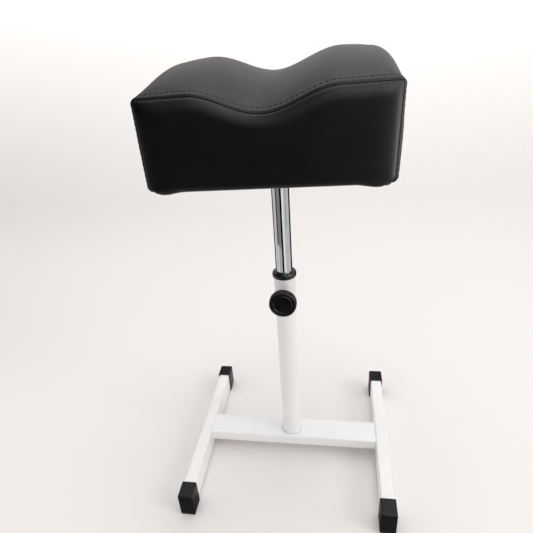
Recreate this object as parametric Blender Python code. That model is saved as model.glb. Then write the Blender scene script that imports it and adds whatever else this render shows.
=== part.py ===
"""Height-adjustable pedicure footrest: a saddle cushion on a chromed post in a white steel stand.

Metres, +Z up. X runs along the cross beam and the cushion, the clamp knob faces -Y, and the origin
is on the floor under the column's axis.
"""
import math

import bmesh
import bpy
from mathutils import Vector

# Fit: the gap between pieces that touch, and the length by which a cutter passes a surface
CLEARANCE = 0.0003
OVERRUN = 0.002

# Base rails and cross beam: rectangular steel tube
RAIL_SPACING = 0.320
RAIL_LENGTH = 0.340
RAIL_WIDTH = 0.020
RAIL_HEIGHT = 0.040
BEAM_WIDTH = 0.048
BEAM_HEIGHT = 0.020
TUBE_WALL = 0.0015
TUBE_CORNER = 0.0025

# End caps: moulded sleeves pushed over the rail ends
CAP_LENGTH = 0.030
CAP_WALL = 0.0020
CAP_END_WALL = 0.0030
CAP_EDGE = 0.0016

# Column: round steel tube welded into the beam
COLUMN_RADIUS = 0.016
COLUMN_WALL = 0.0015
COLUMN_LENGTH = 0.333
COLUMN_WELD = 0.0024

# Collar: bush pressed into the column's top
COLLAR_RADIUS = 0.0181
COLLAR_LIP = 0.0095
COLLAR_SKIRT = 0.020
COLLAR_EDGE = 0.0038
COLLAR_LOW_EDGE = 0.0022
COLLAR_MOUTH_EDGE = 0.0006

# Post: chromed steel tube, shown raised by POST_SHOWN above the collar
POST_RADIUS = 0.0125
POST_WALL = 0.0015
POST_LENGTH = 0.334
POST_SHOWN = 0.1574

# Glide: cup on the post's lower end
GLIDE_LENGTH = 0.030
GLIDE_FLOOR = 0.0025
GLIDE_BORE_RADIUS = 0.008

# Clamp: threaded boss on the column, stud, pressure pad and knob
CLAMP_DROP = 0.0272
BOSS_RADIUS = 0.0085
BOSS_REACH = 0.0250
STUD_RADIUS = 0.0040
STUD_LENGTH = 0.0230
STUD_CHAMFER = 0.0006
PAD_THICKNESS = 0.0030
KNOB_RADIUS = 0.0205
KNOB_FRONT = 0.0430
KNOB_THICKNESS = 0.0130
KNOB_EDGE = 0.0016
KNOB_RIM = 0.0031
KNOB_RECESS = 0.0022
KNOB_FLUTES = 40
KNOB_FLUTE_DEPTH = 0.0007
HUB_RADIUS = 0.0100
HUB_LENGTH = 0.0030
DISC_THICKNESS = 0.0014
DISC_DOME = 0.0003

# Mounting plate under the cushion, its weld round the post, and its screws
PLATE_SIDE = 0.120
PLATE_THICKNESS = 0.0030
PLATE_CORNER = 0.010
PLATE_EDGE = 0.0005
PLATE_WELD = 0.0020
SCREW_SPACING = 0.090
SCREW_RADIUS = 0.0020
SCREW_LENGTH = 0.0145
SCREW_HEAD_RADIUS = 0.0042
SCREW_HEAD = 0.0024

# Base board and the cloth that closes the underside
BOARD_THICKNESS = 0.012
BOARD_MARGIN = 0.0050
BOARD_CORNER = 0.010
BOARD_EDGE = 0.0010
CLOTH_THICKNESS = 0.0008
CLOTH_LENGTH = 0.255
CLOTH_DEPTH = 0.222

# Cushion: stuffed cover between a front and a back seam
SEAM_HALF_LENGTH = 0.1412
BOTTOM_HALF_LENGTH = 0.1398
SEAM_DEPTH = 0.250
SEAM_HEIGHT = 0.1009
VALLEY_DEPTH = 0.0216
VALLEY_HALF_LENGTH = 0.0815
CROWN = 0.0283
SIDE_BULGE = 0.0036
PANEL_BULGE = 0.0070
SEAM_CORNER = 0.0050
CROWN_CORNER = 0.0315
BOTTOM_CORNER = 0.0080
LEATHER = 0.0012
FOLD_UNDER = 0.022
FOLD_DROP = 0.0040
FOLD_LENGTH = 0.0100

# Shares that shape the stuffing
CROWN_POWER_share = 2.2
END_CROWN_share = 0.58
END_POWER_share = 5.2
SIDE_POWER_share = 6.0
CORNER_POWER_share = 3.0
LOW_SWELL_share = 0.6
SIDE_SPREAD_share = 1.7
PANEL_POWER_share = 2.6
FOLD_START_share = 0.76
FLUTE_shares = (0.0, 1.0, 1.0)

# Facets
ROUND_STEPS = 40
SMALL_ROUND_STEPS = 16
CORNER_STEPS = 4
SIDE_STEPS = 7
SHOULDER_STEPS = 6
TOP_STEPS = 18
DEPTH_STEPS = 10
SMOOTH_ANGLE = math.radians(35.0)

# Heights worked out from the sizes above
RAIL_BOTTOM_Z = CAP_WALL + CLEARANCE
RAIL_TOP_Z = RAIL_BOTTOM_Z + RAIL_HEIGHT
BEAM_BOTTOM_Z = RAIL_TOP_Z - BEAM_HEIGHT
COLUMN_BOTTOM_Z = BEAM_BOTTOM_Z + TUBE_WALL + CLEARANCE
COLUMN_TOP_Z = COLUMN_BOTTOM_Z + COLUMN_LENGTH
CLAMP_Z = COLUMN_TOP_Z - CLAMP_DROP
COLLAR_TOP_Z = COLUMN_TOP_Z + CLEARANCE + COLLAR_LIP
POST_TOP_Z = COLLAR_TOP_Z + POST_SHOWN
POST_BOTTOM_Z = POST_TOP_Z - POST_LENGTH
PLATE_BOTTOM_Z = POST_TOP_Z + CLEARANCE
CLOTH_BOTTOM_Z = PLATE_BOTTOM_Z + PLATE_THICKNESS + CLEARANCE
PANEL_BOTTOM_Z = CLOTH_BOTTOM_Z + CLOTH_THICKNESS + CLEARANCE
BAND_BOTTOM_Z = PANEL_BOTTOM_Z + LEATHER + CLEARANCE
BOARD_BOTTOM_Z = BAND_BOTTOM_Z + LEATHER + CLEARANCE
FOAM_BOTTOM_Z = BOARD_BOTTOM_Z + BOARD_THICKNESS + CLEARANCE
SEAM_Z = PANEL_BOTTOM_Z + SEAM_HEIGHT

# Radii that follow from their neighbours
POST_SEAT_RADIUS = POST_RADIUS + CLEARANCE
COLUMN_BORE_RADIUS = COLUMN_RADIUS - COLUMN_WALL
SLEEVE_RADIUS = COLUMN_BORE_RADIUS - CLEARANCE
STUD_BORE_RADIUS = STUD_RADIUS + CLEARANCE
SCREW_HOLE_RADIUS = SCREW_RADIUS + CLEARANCE
DISC_RADIUS = KNOB_RADIUS - KNOB_RIM - CLEARANCE


def clear_scene():
    """Removes whatever the scene already holds."""
    for item in list(bpy.data.objects):
        bpy.data.objects.remove(item)


def material(name, colour, roughness, metallic=0.0):
    """Returns a Principled material with the given linear colour."""
    made = bpy.data.materials.get(name) or bpy.data.materials.new(name)
    made.use_nodes = True
    shader = made.node_tree.nodes["Principled BSDF"]
    shader.inputs["Base Color"].default_value = (*colour, 1.0)
    shader.inputs["Roughness"].default_value = roughness
    shader.inputs["Metallic"].default_value = metallic
    return made


def powder_coat():
    """White powder coat on steel."""
    return material("white_powder_coat", (0.86, 0.86, 0.85), 0.38)


def black_plastic():
    """Moulded black plastic."""
    return material("black_plastic", (0.018, 0.018, 0.019), 0.45)


def chrome():
    """Polished chrome plate."""
    return material("chrome", (0.78, 0.79, 0.80), 0.08, 1.0)


def zinc_steel():
    """Bright zinc-plated steel."""
    return material("zinc_steel", (0.55, 0.56, 0.57), 0.32, 1.0)


def leatherette():
    """Black leatherette."""
    return material("black_leatherette", (0.020, 0.020, 0.021), 0.42)


def plywood():
    """Plain birch plywood."""
    return material("plywood", (0.52, 0.37, 0.22), 0.65)


def foam():
    """Upholstery foam."""
    return material("foam", (0.78, 0.72, 0.50), 0.90)


def underside_fabric():
    """Black non-woven cloth."""
    return material("underside_fabric", (0.025, 0.025, 0.026), 0.95)


def empty(name, location, parent=None, rotation=(0.0, 0.0, 0.0)):
    """Adds an empty that carries pieces or marks an axis."""
    made = bpy.data.objects.new(name, None)
    made.location = location
    made.rotation_euler = rotation
    made.parent = parent
    bpy.context.scene.collection.objects.link(made)
    return made


def finish(name, bm, surface, parent, location=(0.0, 0.0, 0.0)):
    """Turns a bmesh into a smooth-shaded object with its faces pointing out."""
    bmesh.ops.recalc_face_normals(bm, faces=bm.faces)
    mesh = bpy.data.meshes.new(name)
    bm.to_mesh(mesh)
    bm.free()
    mesh.shade_smooth()
    mesh.set_sharp_from_angle(angle=SMOOTH_ANGLE)
    mesh.materials.append(surface)
    made = bpy.data.objects.new(name, mesh)
    made.parent = parent
    made.location = location
    bpy.context.scene.collection.objects.link(made)
    return made


def combine(target, tool, operation="DIFFERENCE"):
    """Takes the tool's volume out of the target, or adds it for UNION."""
    modifier = target.modifiers.new(tool.name, "BOOLEAN")
    modifier.operation = operation
    modifier.object = tool
    tool.hide_render = True
    tool.display_type = "WIRE"


def skin(bm, rings, closed_path=False):
    """Joins rings of equal point count; an open path gets a face over each end."""
    loops = [[bm.verts.new(point) for point in ring] for ring in rings]
    pairs = list(zip(loops, loops[1:]))
    if closed_path:
        pairs.append((loops[-1], loops[0]))
    for near, far in pairs:
        for index in range(len(near)):
            after = (index + 1) % len(near)
            bm.faces.new((near[index], near[after], far[after], far[index]))
    if not closed_path:
        bm.faces.new(loops[0])
        bm.faces.new(loops[-1])


def turned(profile, steps, closed_profile=True):
    """Spins a profile of (radius, height) points about Z into a closed body."""
    bm = bmesh.new()
    points = [bm.verts.new((radius, 0.0, height)) for radius, height in profile]
    edges = [bm.edges.new(pair) for pair in zip(points, points[1:])]
    if closed_profile:
        edges.append(bm.edges.new((points[-1], points[0])))
    bmesh.ops.spin(bm, geom=points + edges, cent=(0.0, 0.0, 0.0), axis=(0.0, 0.0, 1.0),
                   angle=math.tau, steps=steps, use_merge=True)
    bmesh.ops.remove_doubles(bm, verts=bm.verts, dist=CLEARANCE / ROUND_STEPS)
    return bm


def rounded_rectangle(width, height, radius):
    """Returns the outline of a rectangle with round corners, centred on zero."""
    outline = []
    for quarter in range(4):
        right = 1 if quarter in (0, 3) else -1
        upper = 1 if quarter in (0, 1) else -1
        for step in range(CORNER_STEPS + 1):
            angle = math.pi / 2 * (quarter + step / CORNER_STEPS)
            outline.append((right * (width / 2 - radius) + radius * math.cos(angle),
                            upper * (height / 2 - radius) + radius * math.sin(angle)))
    return outline


def arc(centre_radius, centre_height, radius, start, end, steps):
    """Returns (radius, height) points along a round edge of a turned profile."""
    points = []
    for step in range(steps + 1):
        angle = math.radians(start + (end - start) * step / steps)
        points.append((centre_radius + radius * math.cos(angle),
                       centre_height + radius * math.sin(angle)))
    return points


def rectangular_tube(width, height, length):
    """Builds an open tube along Y, centred on its axis."""
    outer = rounded_rectangle(width, height, TUBE_CORNER)
    inner = rounded_rectangle(width - 2 * TUBE_WALL, height - 2 * TUBE_WALL, TUBE_CORNER - TUBE_WALL)
    rings = [[Vector((across, along, up)) for across, up in outline]
             for outline, along in ((outer, -length / 2), (outer, length / 2),
                                    (inner, length / 2), (inner, -length / 2))]
    bm = bmesh.new()
    skin(bm, rings, closed_path=True)
    return bm


def slab(length, depth, thickness, corner, edge):
    """Builds a flat plate with round corners and eased edges, standing on Z zero."""
    levels = ((edge, 0.0), (0.0, edge), (0.0, thickness - edge), (edge, thickness))
    if edge == 0.0:
        levels = ((0.0, 0.0), (0.0, thickness))
    bm = bmesh.new()
    skin(bm, [[Vector((across, along, up))
               for across, along in rounded_rectangle(length - 2 * inset, depth - 2 * inset, corner - inset)]
              for inset, up in levels])
    return bm


def rail(name, side, base):
    """Adds one base rail."""
    return finish(name, rectangular_tube(RAIL_WIDTH, RAIL_HEIGHT, RAIL_LENGTH), powder_coat(), base,
                  (side * RAIL_SPACING / 2, 0.0, RAIL_BOTTOM_Z + RAIL_HEIGHT / 2))


def end_cap(name, side, end, base):
    """Adds the sleeve cap on one rail end; end is -1 at the front and 1 at the back."""
    inner_width = RAIL_WIDTH + 2 * CLEARANCE
    inner_height = RAIL_HEIGHT + 2 * CLEARANCE
    inner = rounded_rectangle(inner_width, inner_height, TUBE_CORNER + CLEARANCE)
    closed_end = RAIL_LENGTH / 2 + CLEARANCE
    outside = closed_end + CAP_END_WALL
    mouth = outside - CAP_LENGTH
    levels = [(inner, closed_end), (inner, mouth)]
    outer_corner = TUBE_CORNER + CLEARANCE + CAP_EDGE / 2
    steps = [(0.0, mouth)]
    for step in range(CORNER_STEPS + 1):
        angle = math.pi / 2 * step / CORNER_STEPS
        steps.append((CAP_EDGE * (1.0 - math.cos(angle)), outside - CAP_EDGE * (1.0 - math.sin(angle))))
    for inset, along in steps:
        wall = 2 * (CAP_WALL - inset)
        outline = rounded_rectangle(inner_width + wall, inner_height + wall, outer_corner - inset)
        levels.append((outline, along))
    bm = bmesh.new()
    skin(bm, [[Vector((across, end * along, up)) for across, up in outline] for outline, along in levels])
    return finish(name, bm, black_plastic(), base,
                  (side * RAIL_SPACING / 2, 0.0, RAIL_BOTTOM_Z + RAIL_HEIGHT / 2))


def cross_beam(base):
    """Adds the flat beam between the rails, with the column's hole in its top wall."""
    length = RAIL_SPACING - RAIL_WIDTH - 2 * CLEARANCE
    centre_z = BEAM_BOTTOM_Z + BEAM_HEIGHT / 2
    bm = rectangular_tube(BEAM_WIDTH, BEAM_HEIGHT, length)
    bmesh.ops.rotate(bm, verts=bm.verts, cent=(0.0, 0.0, 0.0),
                     matrix=Vector((0.0, 1.0, 0.0)).rotation_difference(Vector((1.0, 0.0, 0.0))).to_matrix())
    beam = finish("cross_beam", bm, powder_coat(), base, (0.0, 0.0, centre_z))
    hole = turned([(0.0, 0.0), (COLUMN_RADIUS + CLEARANCE, 0.0),
                   (COLUMN_RADIUS + CLEARANCE, BEAM_HEIGHT), (0.0, BEAM_HEIGHT)],
                  ROUND_STEPS, closed_profile=False)
    combine(beam, finish("cut_column_seat", hole, powder_coat(), base, (0.0, 0.0, centre_z)))
    return beam


def weld_fillet(radius, height, size):
    """Returns the hollow outline of a weld round a tube, from the plate it stands on up the tube."""
    points = []
    for step in range(CORNER_STEPS + 1):
        angle = math.pi / 2 * step / CORNER_STEPS
        points.append((radius + size * (1.0 - math.sin(angle)), height + size * (1.0 - math.cos(angle))))
    return points


def column(base, clamp_axis):
    """Adds the column with its weld fillet at the foot and the stud's hole in front."""
    profile = [(COLUMN_BORE_RADIUS, COLUMN_BOTTOM_Z),
               (COLUMN_RADIUS, COLUMN_BOTTOM_Z),
               (COLUMN_RADIUS, RAIL_TOP_Z + CLEARANCE),
               *weld_fillet(COLUMN_RADIUS, RAIL_TOP_Z + CLEARANCE, COLUMN_WELD),
               (COLUMN_RADIUS, COLUMN_TOP_Z),
               (COLUMN_BORE_RADIUS, COLUMN_TOP_Z)]
    tube = finish("column_tube", turned(profile, ROUND_STEPS), powder_coat(), base)
    reach = COLUMN_RADIUS + OVERRUN
    hole = turned([(0.0, 0.0), (STUD_BORE_RADIUS, 0.0), (STUD_BORE_RADIUS, reach), (0.0, reach)],
                  SMALL_ROUND_STEPS, closed_profile=False)
    combine(tube, finish("cut_stud_hole", hole, powder_coat(), clamp_axis))
    return tube


def collar(base):
    """Adds the bush: a skirt inside the column under a round-edged lip."""
    lip_bottom = COLUMN_TOP_Z + CLEARANCE
    edge_radius = COLLAR_RADIUS - COLLAR_EDGE
    low_radius = COLLAR_RADIUS - COLLAR_LOW_EDGE
    profile = [(POST_SEAT_RADIUS, lip_bottom - COLLAR_SKIRT),
               (SLEEVE_RADIUS, lip_bottom - COLLAR_SKIRT),
               (SLEEVE_RADIUS, lip_bottom),
               *arc(low_radius, lip_bottom + COLLAR_LOW_EDGE, COLLAR_LOW_EDGE, -90, 0, CORNER_STEPS),
               *arc(edge_radius, COLLAR_TOP_Z - COLLAR_EDGE, COLLAR_EDGE, 0, 90, CORNER_STEPS),
               (POST_SEAT_RADIUS + COLLAR_MOUTH_EDGE, COLLAR_TOP_Z),
               (POST_SEAT_RADIUS, COLLAR_TOP_Z - COLLAR_MOUTH_EDGE)]
    return finish("column_collar", turned(profile, ROUND_STEPS), black_plastic(), base)


def clamp_boss(base, clamp_axis):
    """Adds the threaded sleeve that is welded to the column's front."""
    profile = [(STUD_BORE_RADIUS, COLUMN_BORE_RADIUS),
               (BOSS_RADIUS, COLUMN_BORE_RADIUS),
               (BOSS_RADIUS, BOSS_REACH - STUD_CHAMFER),
               (BOSS_RADIUS - STUD_CHAMFER, BOSS_REACH),
               (STUD_BORE_RADIUS, BOSS_REACH)]
    boss = finish("clamp_boss", turned(profile, SMALL_ROUND_STEPS), powder_coat(), clamp_axis)
    half = BOSS_RADIUS + OVERRUN
    saddle = turned([(0.0, -half), (COLUMN_RADIUS + CLEARANCE, -half),
                     (COLUMN_RADIUS + CLEARANCE, half), (0.0, half)], ROUND_STEPS, closed_profile=False)
    combine(boss, finish("cut_boss_saddle", saddle, powder_coat(), base, (0.0, 0.0, CLAMP_Z)))
    return boss


def pressure_pad(pad_axis):
    """Adds the pad between the stud's tip and the post."""
    near = POST_SEAT_RADIUS
    far = near + PAD_THICKNESS
    profile = [(0.0, near), (STUD_RADIUS - STUD_CHAMFER, near), (STUD_RADIUS, near + STUD_CHAMFER),
               (STUD_RADIUS, far), (0.0, far)]
    bm = turned(profile, SMALL_ROUND_STEPS, closed_profile=False)
    return finish("pressure_pad", bm, black_plastic(), pad_axis)


def clamp_stud(knob_axis):
    """Adds the stud, from the pad into the knob's hub."""
    tip = POST_SEAT_RADIUS + PAD_THICKNESS + CLEARANCE
    end = tip + STUD_LENGTH
    profile = [(0.0, tip), (STUD_RADIUS - STUD_CHAMFER, tip), (STUD_RADIUS, tip + STUD_CHAMFER),
               (STUD_RADIUS, end), (0.0, end)]
    bm = turned(profile, SMALL_ROUND_STEPS, closed_profile=False)
    return finish("clamp_stud", bm, zinc_steel(), knob_axis)


def knob_ring(radius, height, flute):
    """Returns one ring of the knob; flute is the depth of its grooves there."""
    ring = []
    count = KNOB_FLUTES * len(FLUTE_shares)
    for index in range(count):
        angle = math.tau * index / count
        reach = radius - flute * FLUTE_shares[index % len(FLUTE_shares)]
        ring.append(Vector((reach * math.cos(angle), reach * math.sin(angle), height)))
    return ring


def knob_body(knob_axis):
    """Adds the knob: hub with the stud's bore, fluted rim and a recessed face for the disc."""
    back = KNOB_FRONT - KNOB_THICKNESS
    floor = KNOB_FRONT - KNOB_RECESS
    bore_end = POST_SEAT_RADIUS + PAD_THICKNESS + STUD_LENGTH + 2 * CLEARANCE
    rim_inner = DISC_RADIUS + CLEARANCE
    rings = [(STUD_BORE_RADIUS, bore_end, 0.0),
             (STUD_BORE_RADIUS, back - HUB_LENGTH, 0.0),
             (HUB_RADIUS, back - HUB_LENGTH, 0.0),
             (HUB_RADIUS, back, 0.0),
             (KNOB_RADIUS - KNOB_EDGE, back, KNOB_FLUTE_DEPTH),
             (KNOB_RADIUS, back + KNOB_EDGE, KNOB_FLUTE_DEPTH),
             (KNOB_RADIUS, KNOB_FRONT - KNOB_EDGE, KNOB_FLUTE_DEPTH),
             (KNOB_RADIUS - KNOB_EDGE, KNOB_FRONT, 0.0),
             (rim_inner, KNOB_FRONT, 0.0),
             (rim_inner, floor, 0.0)]
    bm = bmesh.new()
    skin(bm, [knob_ring(*ring) for ring in rings])
    return finish("knob_body", bm, black_plastic(), knob_axis)


def knob_disc(knob_axis):
    """Adds the smooth, slightly domed disc in the knob's face."""
    floor = KNOB_FRONT - KNOB_RECESS + CLEARANCE
    top = floor + DISC_THICKNESS
    profile = [(0.0, floor), (DISC_RADIUS, floor), (DISC_RADIUS, top - DISC_DOME),
               (DISC_RADIUS - DISC_DOME, top), (0.0, top + DISC_DOME)]
    bm = turned(profile, ROUND_STEPS, closed_profile=False)
    return finish("knob_disc", bm, black_plastic(), knob_axis)


def post(swivel):
    """Adds the chromed post, an open tube."""
    bore = POST_RADIUS - POST_WALL
    profile = [(bore, 0.0), (POST_RADIUS, 0.0), (POST_RADIUS, POST_LENGTH), (bore, POST_LENGTH)]
    return finish("post_tube", turned(profile, ROUND_STEPS), chrome(), swivel)


def post_glide(lift):
    """Adds the cup that centres the post's lower end in the column."""
    floor_top = -CLEARANCE
    floor_bottom = floor_top - GLIDE_FLOOR
    top = floor_bottom + GLIDE_LENGTH
    profile = [(GLIDE_BORE_RADIUS, floor_bottom), (SLEEVE_RADIUS, floor_bottom), (SLEEVE_RADIUS, top),
               (POST_SEAT_RADIUS, top), (POST_SEAT_RADIUS, floor_top), (GLIDE_BORE_RADIUS, floor_top)]
    return finish("post_glide", turned(profile, ROUND_STEPS), black_plastic(), lift)


def screw_places():
    """Returns the names and places of the four plate screws."""
    half = SCREW_SPACING / 2
    return [("plate_screw_front_left", -half, -half), ("plate_screw_front_right", half, -half),
            ("plate_screw_back_left", -half, half), ("plate_screw_back_right", half, half)]


def screw_holes(target, name, swivel, bottom, depth):
    """Cuts the screws' holes into one piece, from bottom upwards."""
    bm = bmesh.new()
    for _, across, along in screw_places():
        hole = turned([(0.0, 0.0), (SCREW_HOLE_RADIUS, 0.0), (SCREW_HOLE_RADIUS, depth), (0.0, depth)],
                      SMALL_ROUND_STEPS, closed_profile=False)
        bmesh.ops.translate(hole, verts=hole.verts, vec=(across, along, bottom - POST_BOTTOM_Z))
        copy = bpy.data.meshes.new(name)
        hole.to_mesh(copy)
        hole.free()
        bm.from_mesh(copy)
    combine(target, finish(name, bm, zinc_steel(), swivel))


def mounting_plate(swivel):
    """Adds the square plate on the post's top, with the weld that goes round the post."""
    place = (0.0, 0.0, PLATE_BOTTOM_Z - POST_BOTTOM_Z)
    bm = slab(PLATE_SIDE, PLATE_SIDE, PLATE_THICKNESS, PLATE_CORNER, PLATE_EDGE)
    plate = finish("mounting_plate", bm, powder_coat(), swivel, place)
    fillet = [(radius, -height) for radius, height in weld_fillet(POST_SEAT_RADIUS, 0.0, PLATE_WELD)]
    ring = [(POST_SEAT_RADIUS, PLATE_THICKNESS / 2), (fillet[0][0], PLATE_THICKNESS / 2), *fillet]
    weld = finish("weld_round_post", turned(ring, ROUND_STEPS), powder_coat(), swivel, place)
    combine(plate, weld, "UNION")
    screw_holes(plate, "cut_plate_holes", swivel, PLATE_BOTTOM_Z - OVERRUN, PLATE_THICKNESS + 2 * OVERRUN)
    return plate


def underside_cloth(swivel):
    """Adds the cloth that closes the cushion's underside."""
    bm = slab(CLOTH_LENGTH, CLOTH_DEPTH, CLOTH_THICKNESS, BOARD_CORNER, 0.0)
    cloth = finish("underside_cloth", bm, underside_fabric(), swivel,
                   (0.0, 0.0, CLOTH_BOTTOM_Z - POST_BOTTOM_Z))
    screw_holes(cloth, "cut_cloth_holes", swivel, CLOTH_BOTTOM_Z - OVERRUN, CLOTH_THICKNESS + 2 * OVERRUN)
    return cloth


def base_board(swivel):
    """Adds the plywood board, with a blind hole for each screw."""
    length = 2 * (BOTTOM_HALF_LENGTH - LEATHER - BOARD_MARGIN)
    depth = SEAM_DEPTH - 2 * (LEATHER + BOARD_MARGIN)
    bm = slab(length, depth, BOARD_THICKNESS, BOARD_CORNER, BOARD_EDGE)
    board = finish("base_board", bm, plywood(), swivel, (0.0, 0.0, BOARD_BOTTOM_Z - POST_BOTTOM_Z))
    hole_depth = PLATE_BOTTOM_Z + SCREW_LENGTH - BOARD_BOTTOM_Z + OVERRUN
    screw_holes(board, "cut_board_holes", swivel, BOARD_BOTTOM_Z - OVERRUN, hole_depth)
    return board


def plate_screw(name, across, along, swivel):
    """Adds one pan-head screw, from under the plate up into the board."""
    seat = -CLEARANCE
    round_edge = SCREW_HEAD / 2
    profile = [(0.0, seat - SCREW_HEAD),
               *arc(SCREW_HEAD_RADIUS - round_edge, seat - round_edge, round_edge, -90, 0, CORNER_STEPS),
               (SCREW_HEAD_RADIUS, seat),
               (SCREW_RADIUS, seat),
               (SCREW_RADIUS, SCREW_LENGTH - SCREW_RADIUS),
               (SCREW_RADIUS / 4, SCREW_LENGTH - CLEARANCE),
               (0.0, SCREW_LENGTH - CLEARANCE)]
    bm = turned(profile, SMALL_ROUND_STEPS, closed_profile=False)
    return finish(name, bm, zinc_steel(), swivel, (across, along, PLATE_BOTTOM_Z - POST_BOTTOM_Z))


def fullness(share, power):
    """Returns how far stuffing rises between two seams: 1 midway, 0 at either seam."""
    return 1.0 - min(1.0, abs(share)) ** power


def top_height(across, depth_share):
    """Returns the height of the cover's top; depth_share is -1 at the front seam, 1 at the back."""
    wave = 0.0
    if abs(across) < VALLEY_HALF_LENGTH:
        wave = VALLEY_DEPTH * math.cos(math.pi / 2 * across / VALLEY_HALF_LENGTH) ** 2
    end_share = min(1.0, abs(across) / SEAM_HALF_LENGTH) ** END_POWER_share
    crown = CROWN * (1.0 - (1.0 - END_CROWN_share) * end_share)
    return SEAM_Z - wave + crown * fullness(depth_share, CROWN_POWER_share)


def side_reach(height, depth_share):
    """Returns the cover's half length at a height; its sides draw in towards the bottom."""
    rise_share = min(1.0, max(0.0, (height - PANEL_BOTTOM_Z) / SEAM_HEIGHT))
    taper = BOTTOM_HALF_LENGTH + (SEAM_HALF_LENGTH - BOTTOM_HALF_LENGTH) * rise_share
    swell = LOW_SWELL_share + (1.0 - LOW_SWELL_share) * math.sin(math.pi * rise_share)
    below = min(BOTTOM_CORNER, max(0.0, PANEL_BOTTOM_Z + BOTTOM_CORNER - height))
    rounding = BOTTOM_CORNER - math.sqrt(BOTTOM_CORNER ** 2 - below ** 2)
    return taper + SIDE_BULGE * swell * fullness(depth_share, SIDE_POWER_share) - rounding


def shell_outline(depth_share, inset, low):
    """Returns (across, height) points from the lower right corner over the top to the lower left."""
    corner = SEAM_CORNER + (CROWN_CORNER - SEAM_CORNER) * fullness(depth_share, CORNER_POWER_share)
    centre_across = side_reach(SEAM_Z, depth_share) - corner
    centre_height = top_height(centre_across, depth_share) - corner
    radius = corner - inset
    half = []
    for step in range(SIDE_STEPS):
        height = low + (centre_height - low) * (step / SIDE_STEPS) ** SIDE_SPREAD_share
        half.append((side_reach(height, depth_share) - inset, height))
    half += arc(centre_across, centre_height, radius, 0, 90, SHOULDER_STEPS)
    top = []
    for step in range(1, TOP_STEPS):
        across = centre_across * (1.0 - 2.0 * step / TOP_STEPS)
        top.append((across, top_height(across, depth_share) - inset))
    return half + top + [(-across, height) for across, height in reversed(half)]


def patch(outline, low):
    """Fills an outline with a grid of (across, height, u, v) rows, blended from its four edges."""
    side_count = SIDE_STEPS + SHOULDER_STEPS // 2
    right = outline[:side_count + 1]
    left = outline[::-1][:side_count + 1]
    top = outline[side_count:len(outline) - side_count]
    columns = len(top) - 1
    rows = []
    for row in range(side_count + 1):
        v = row / side_count
        cells = []
        for column in range(columns + 1):
            u = column / columns
            cell = []
            for axis in (0, 1):
                low_edge = (1 - u) * right[0][axis] + u * left[0][axis]
                blend = (1 - v) * low_edge + v * top[column][axis]
                blend += (1 - u) * right[row][axis] + u * left[row][axis]
                corners = (1 - u) * (1 - v) * right[0][axis] + u * (1 - v) * left[0][axis]
                corners += (1 - u) * v * top[0][axis] + u * v * top[-1][axis]
                cell.append(blend - corners)
            cells.append((cell[0], max(low, cell[1]), 2 * u - 1, 2 * v - 1))
        rows.append(cells)
    return rows


def panel_swell(u, v):
    """Returns how far a panel stands out from its seam plane."""
    return PANEL_BULGE * fullness(u, PANEL_POWER_share) * fullness(v, PANEL_POWER_share)


def sheet(bm, outer, inner):
    """Closes two equal grids of points into one thin sheet."""
    grids = [[[bm.verts.new(point) for point in row] for row in grid] for grid in (outer, inner)]
    last_row = len(outer) - 1
    last_column = len(outer[0]) - 1
    for verts in grids:
        for row in range(last_row):
            for column in range(last_column):
                bm.faces.new((verts[row][column], verts[row][column + 1],
                              verts[row + 1][column + 1], verts[row + 1][column]))
    rim = [(0, column) for column in range(last_column)] + [(row, last_column) for row in range(last_row)]
    rim += [(last_row, column) for column in range(last_column, 0, -1)]
    rim += [(row, 0) for row in range(last_row, 0, -1)]
    for near, far in zip(rim, rim[1:] + rim[:1]):
        bm.faces.new((grids[0][near[0]][near[1]], grids[0][far[0]][far[1]],
                      grids[1][far[0]][far[1]], grids[1][near[0]][near[1]]))


def panel_grid(facing, inner):
    """Returns a panel's rows of points, from its edge folded under the board up to the top seam."""
    low = PANEL_BOTTOM_Z + (LEATHER if inner else 0.0)
    plane = SEAM_DEPTH / 2 + CLEARANCE + (0.0 if inner else LEATHER)
    rows = []
    cells = patch(shell_outline(1.0, 0.0, PANEL_BOTTOM_Z), low)
    folds = ((FOLD_UNDER, FOLD_START_share * BOTTOM_HALF_LENGTH), (FOLD_LENGTH, BOTTOM_HALF_LENGTH - LEATHER))
    for under, reach in folds:
        along = facing * (SEAM_DEPTH / 2 - under)
        rows.append([Vector((-u * reach, along, low - POST_BOTTOM_Z)) for _, _, u, _ in cells[0]])
    for index, row in enumerate(cells):
        points = []
        for across, height, u, v in row:
            drop = 0.0
            if index == 0 and abs(u) > FOLD_START_share:
                fold_share = (abs(u) - FOLD_START_share) / (1.0 - FOLD_START_share)
                drop = FOLD_DROP * math.sin(math.pi * fold_share)
            along = facing * (plane + panel_swell(u, v))
            points.append(Vector((across, along, height - drop - POST_BOTTOM_Z)))
        rows.append(points)
    return rows


def cover_panel(name, facing, swivel):
    """Adds the front (-1) or back (1) panel of the cover."""
    bm = bmesh.new()
    sheet(bm, panel_grid(facing, False), panel_grid(facing, True))
    return finish(name, bm, leatherette(), swivel)


def cover_band(swivel):
    """Adds the strip that runs under, up, over the top and down again between the two seams."""
    grids = []
    for inset in (0.0, LEATHER):
        rows = []
        for step in range(DEPTH_STEPS + 1):
            depth_share = -math.cos(math.pi * step / DEPTH_STEPS)
            along = depth_share * SEAM_DEPTH / 2
            outline = shell_outline(depth_share, inset, BAND_BOTTOM_Z + inset)
            fold = BOTTOM_HALF_LENGTH - FOLD_UNDER
            outline = [(fold, BAND_BOTTOM_Z + inset)] + outline + [(-fold, BAND_BOTTOM_Z + inset)]
            rows.append([Vector((across, along, height - POST_BOTTOM_Z)) for across, height in outline])
        grids.append(rows)
    bm = bmesh.new()
    sheet(bm, *grids)
    return finish("cover_band", bm, leatherette(), swivel)


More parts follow.
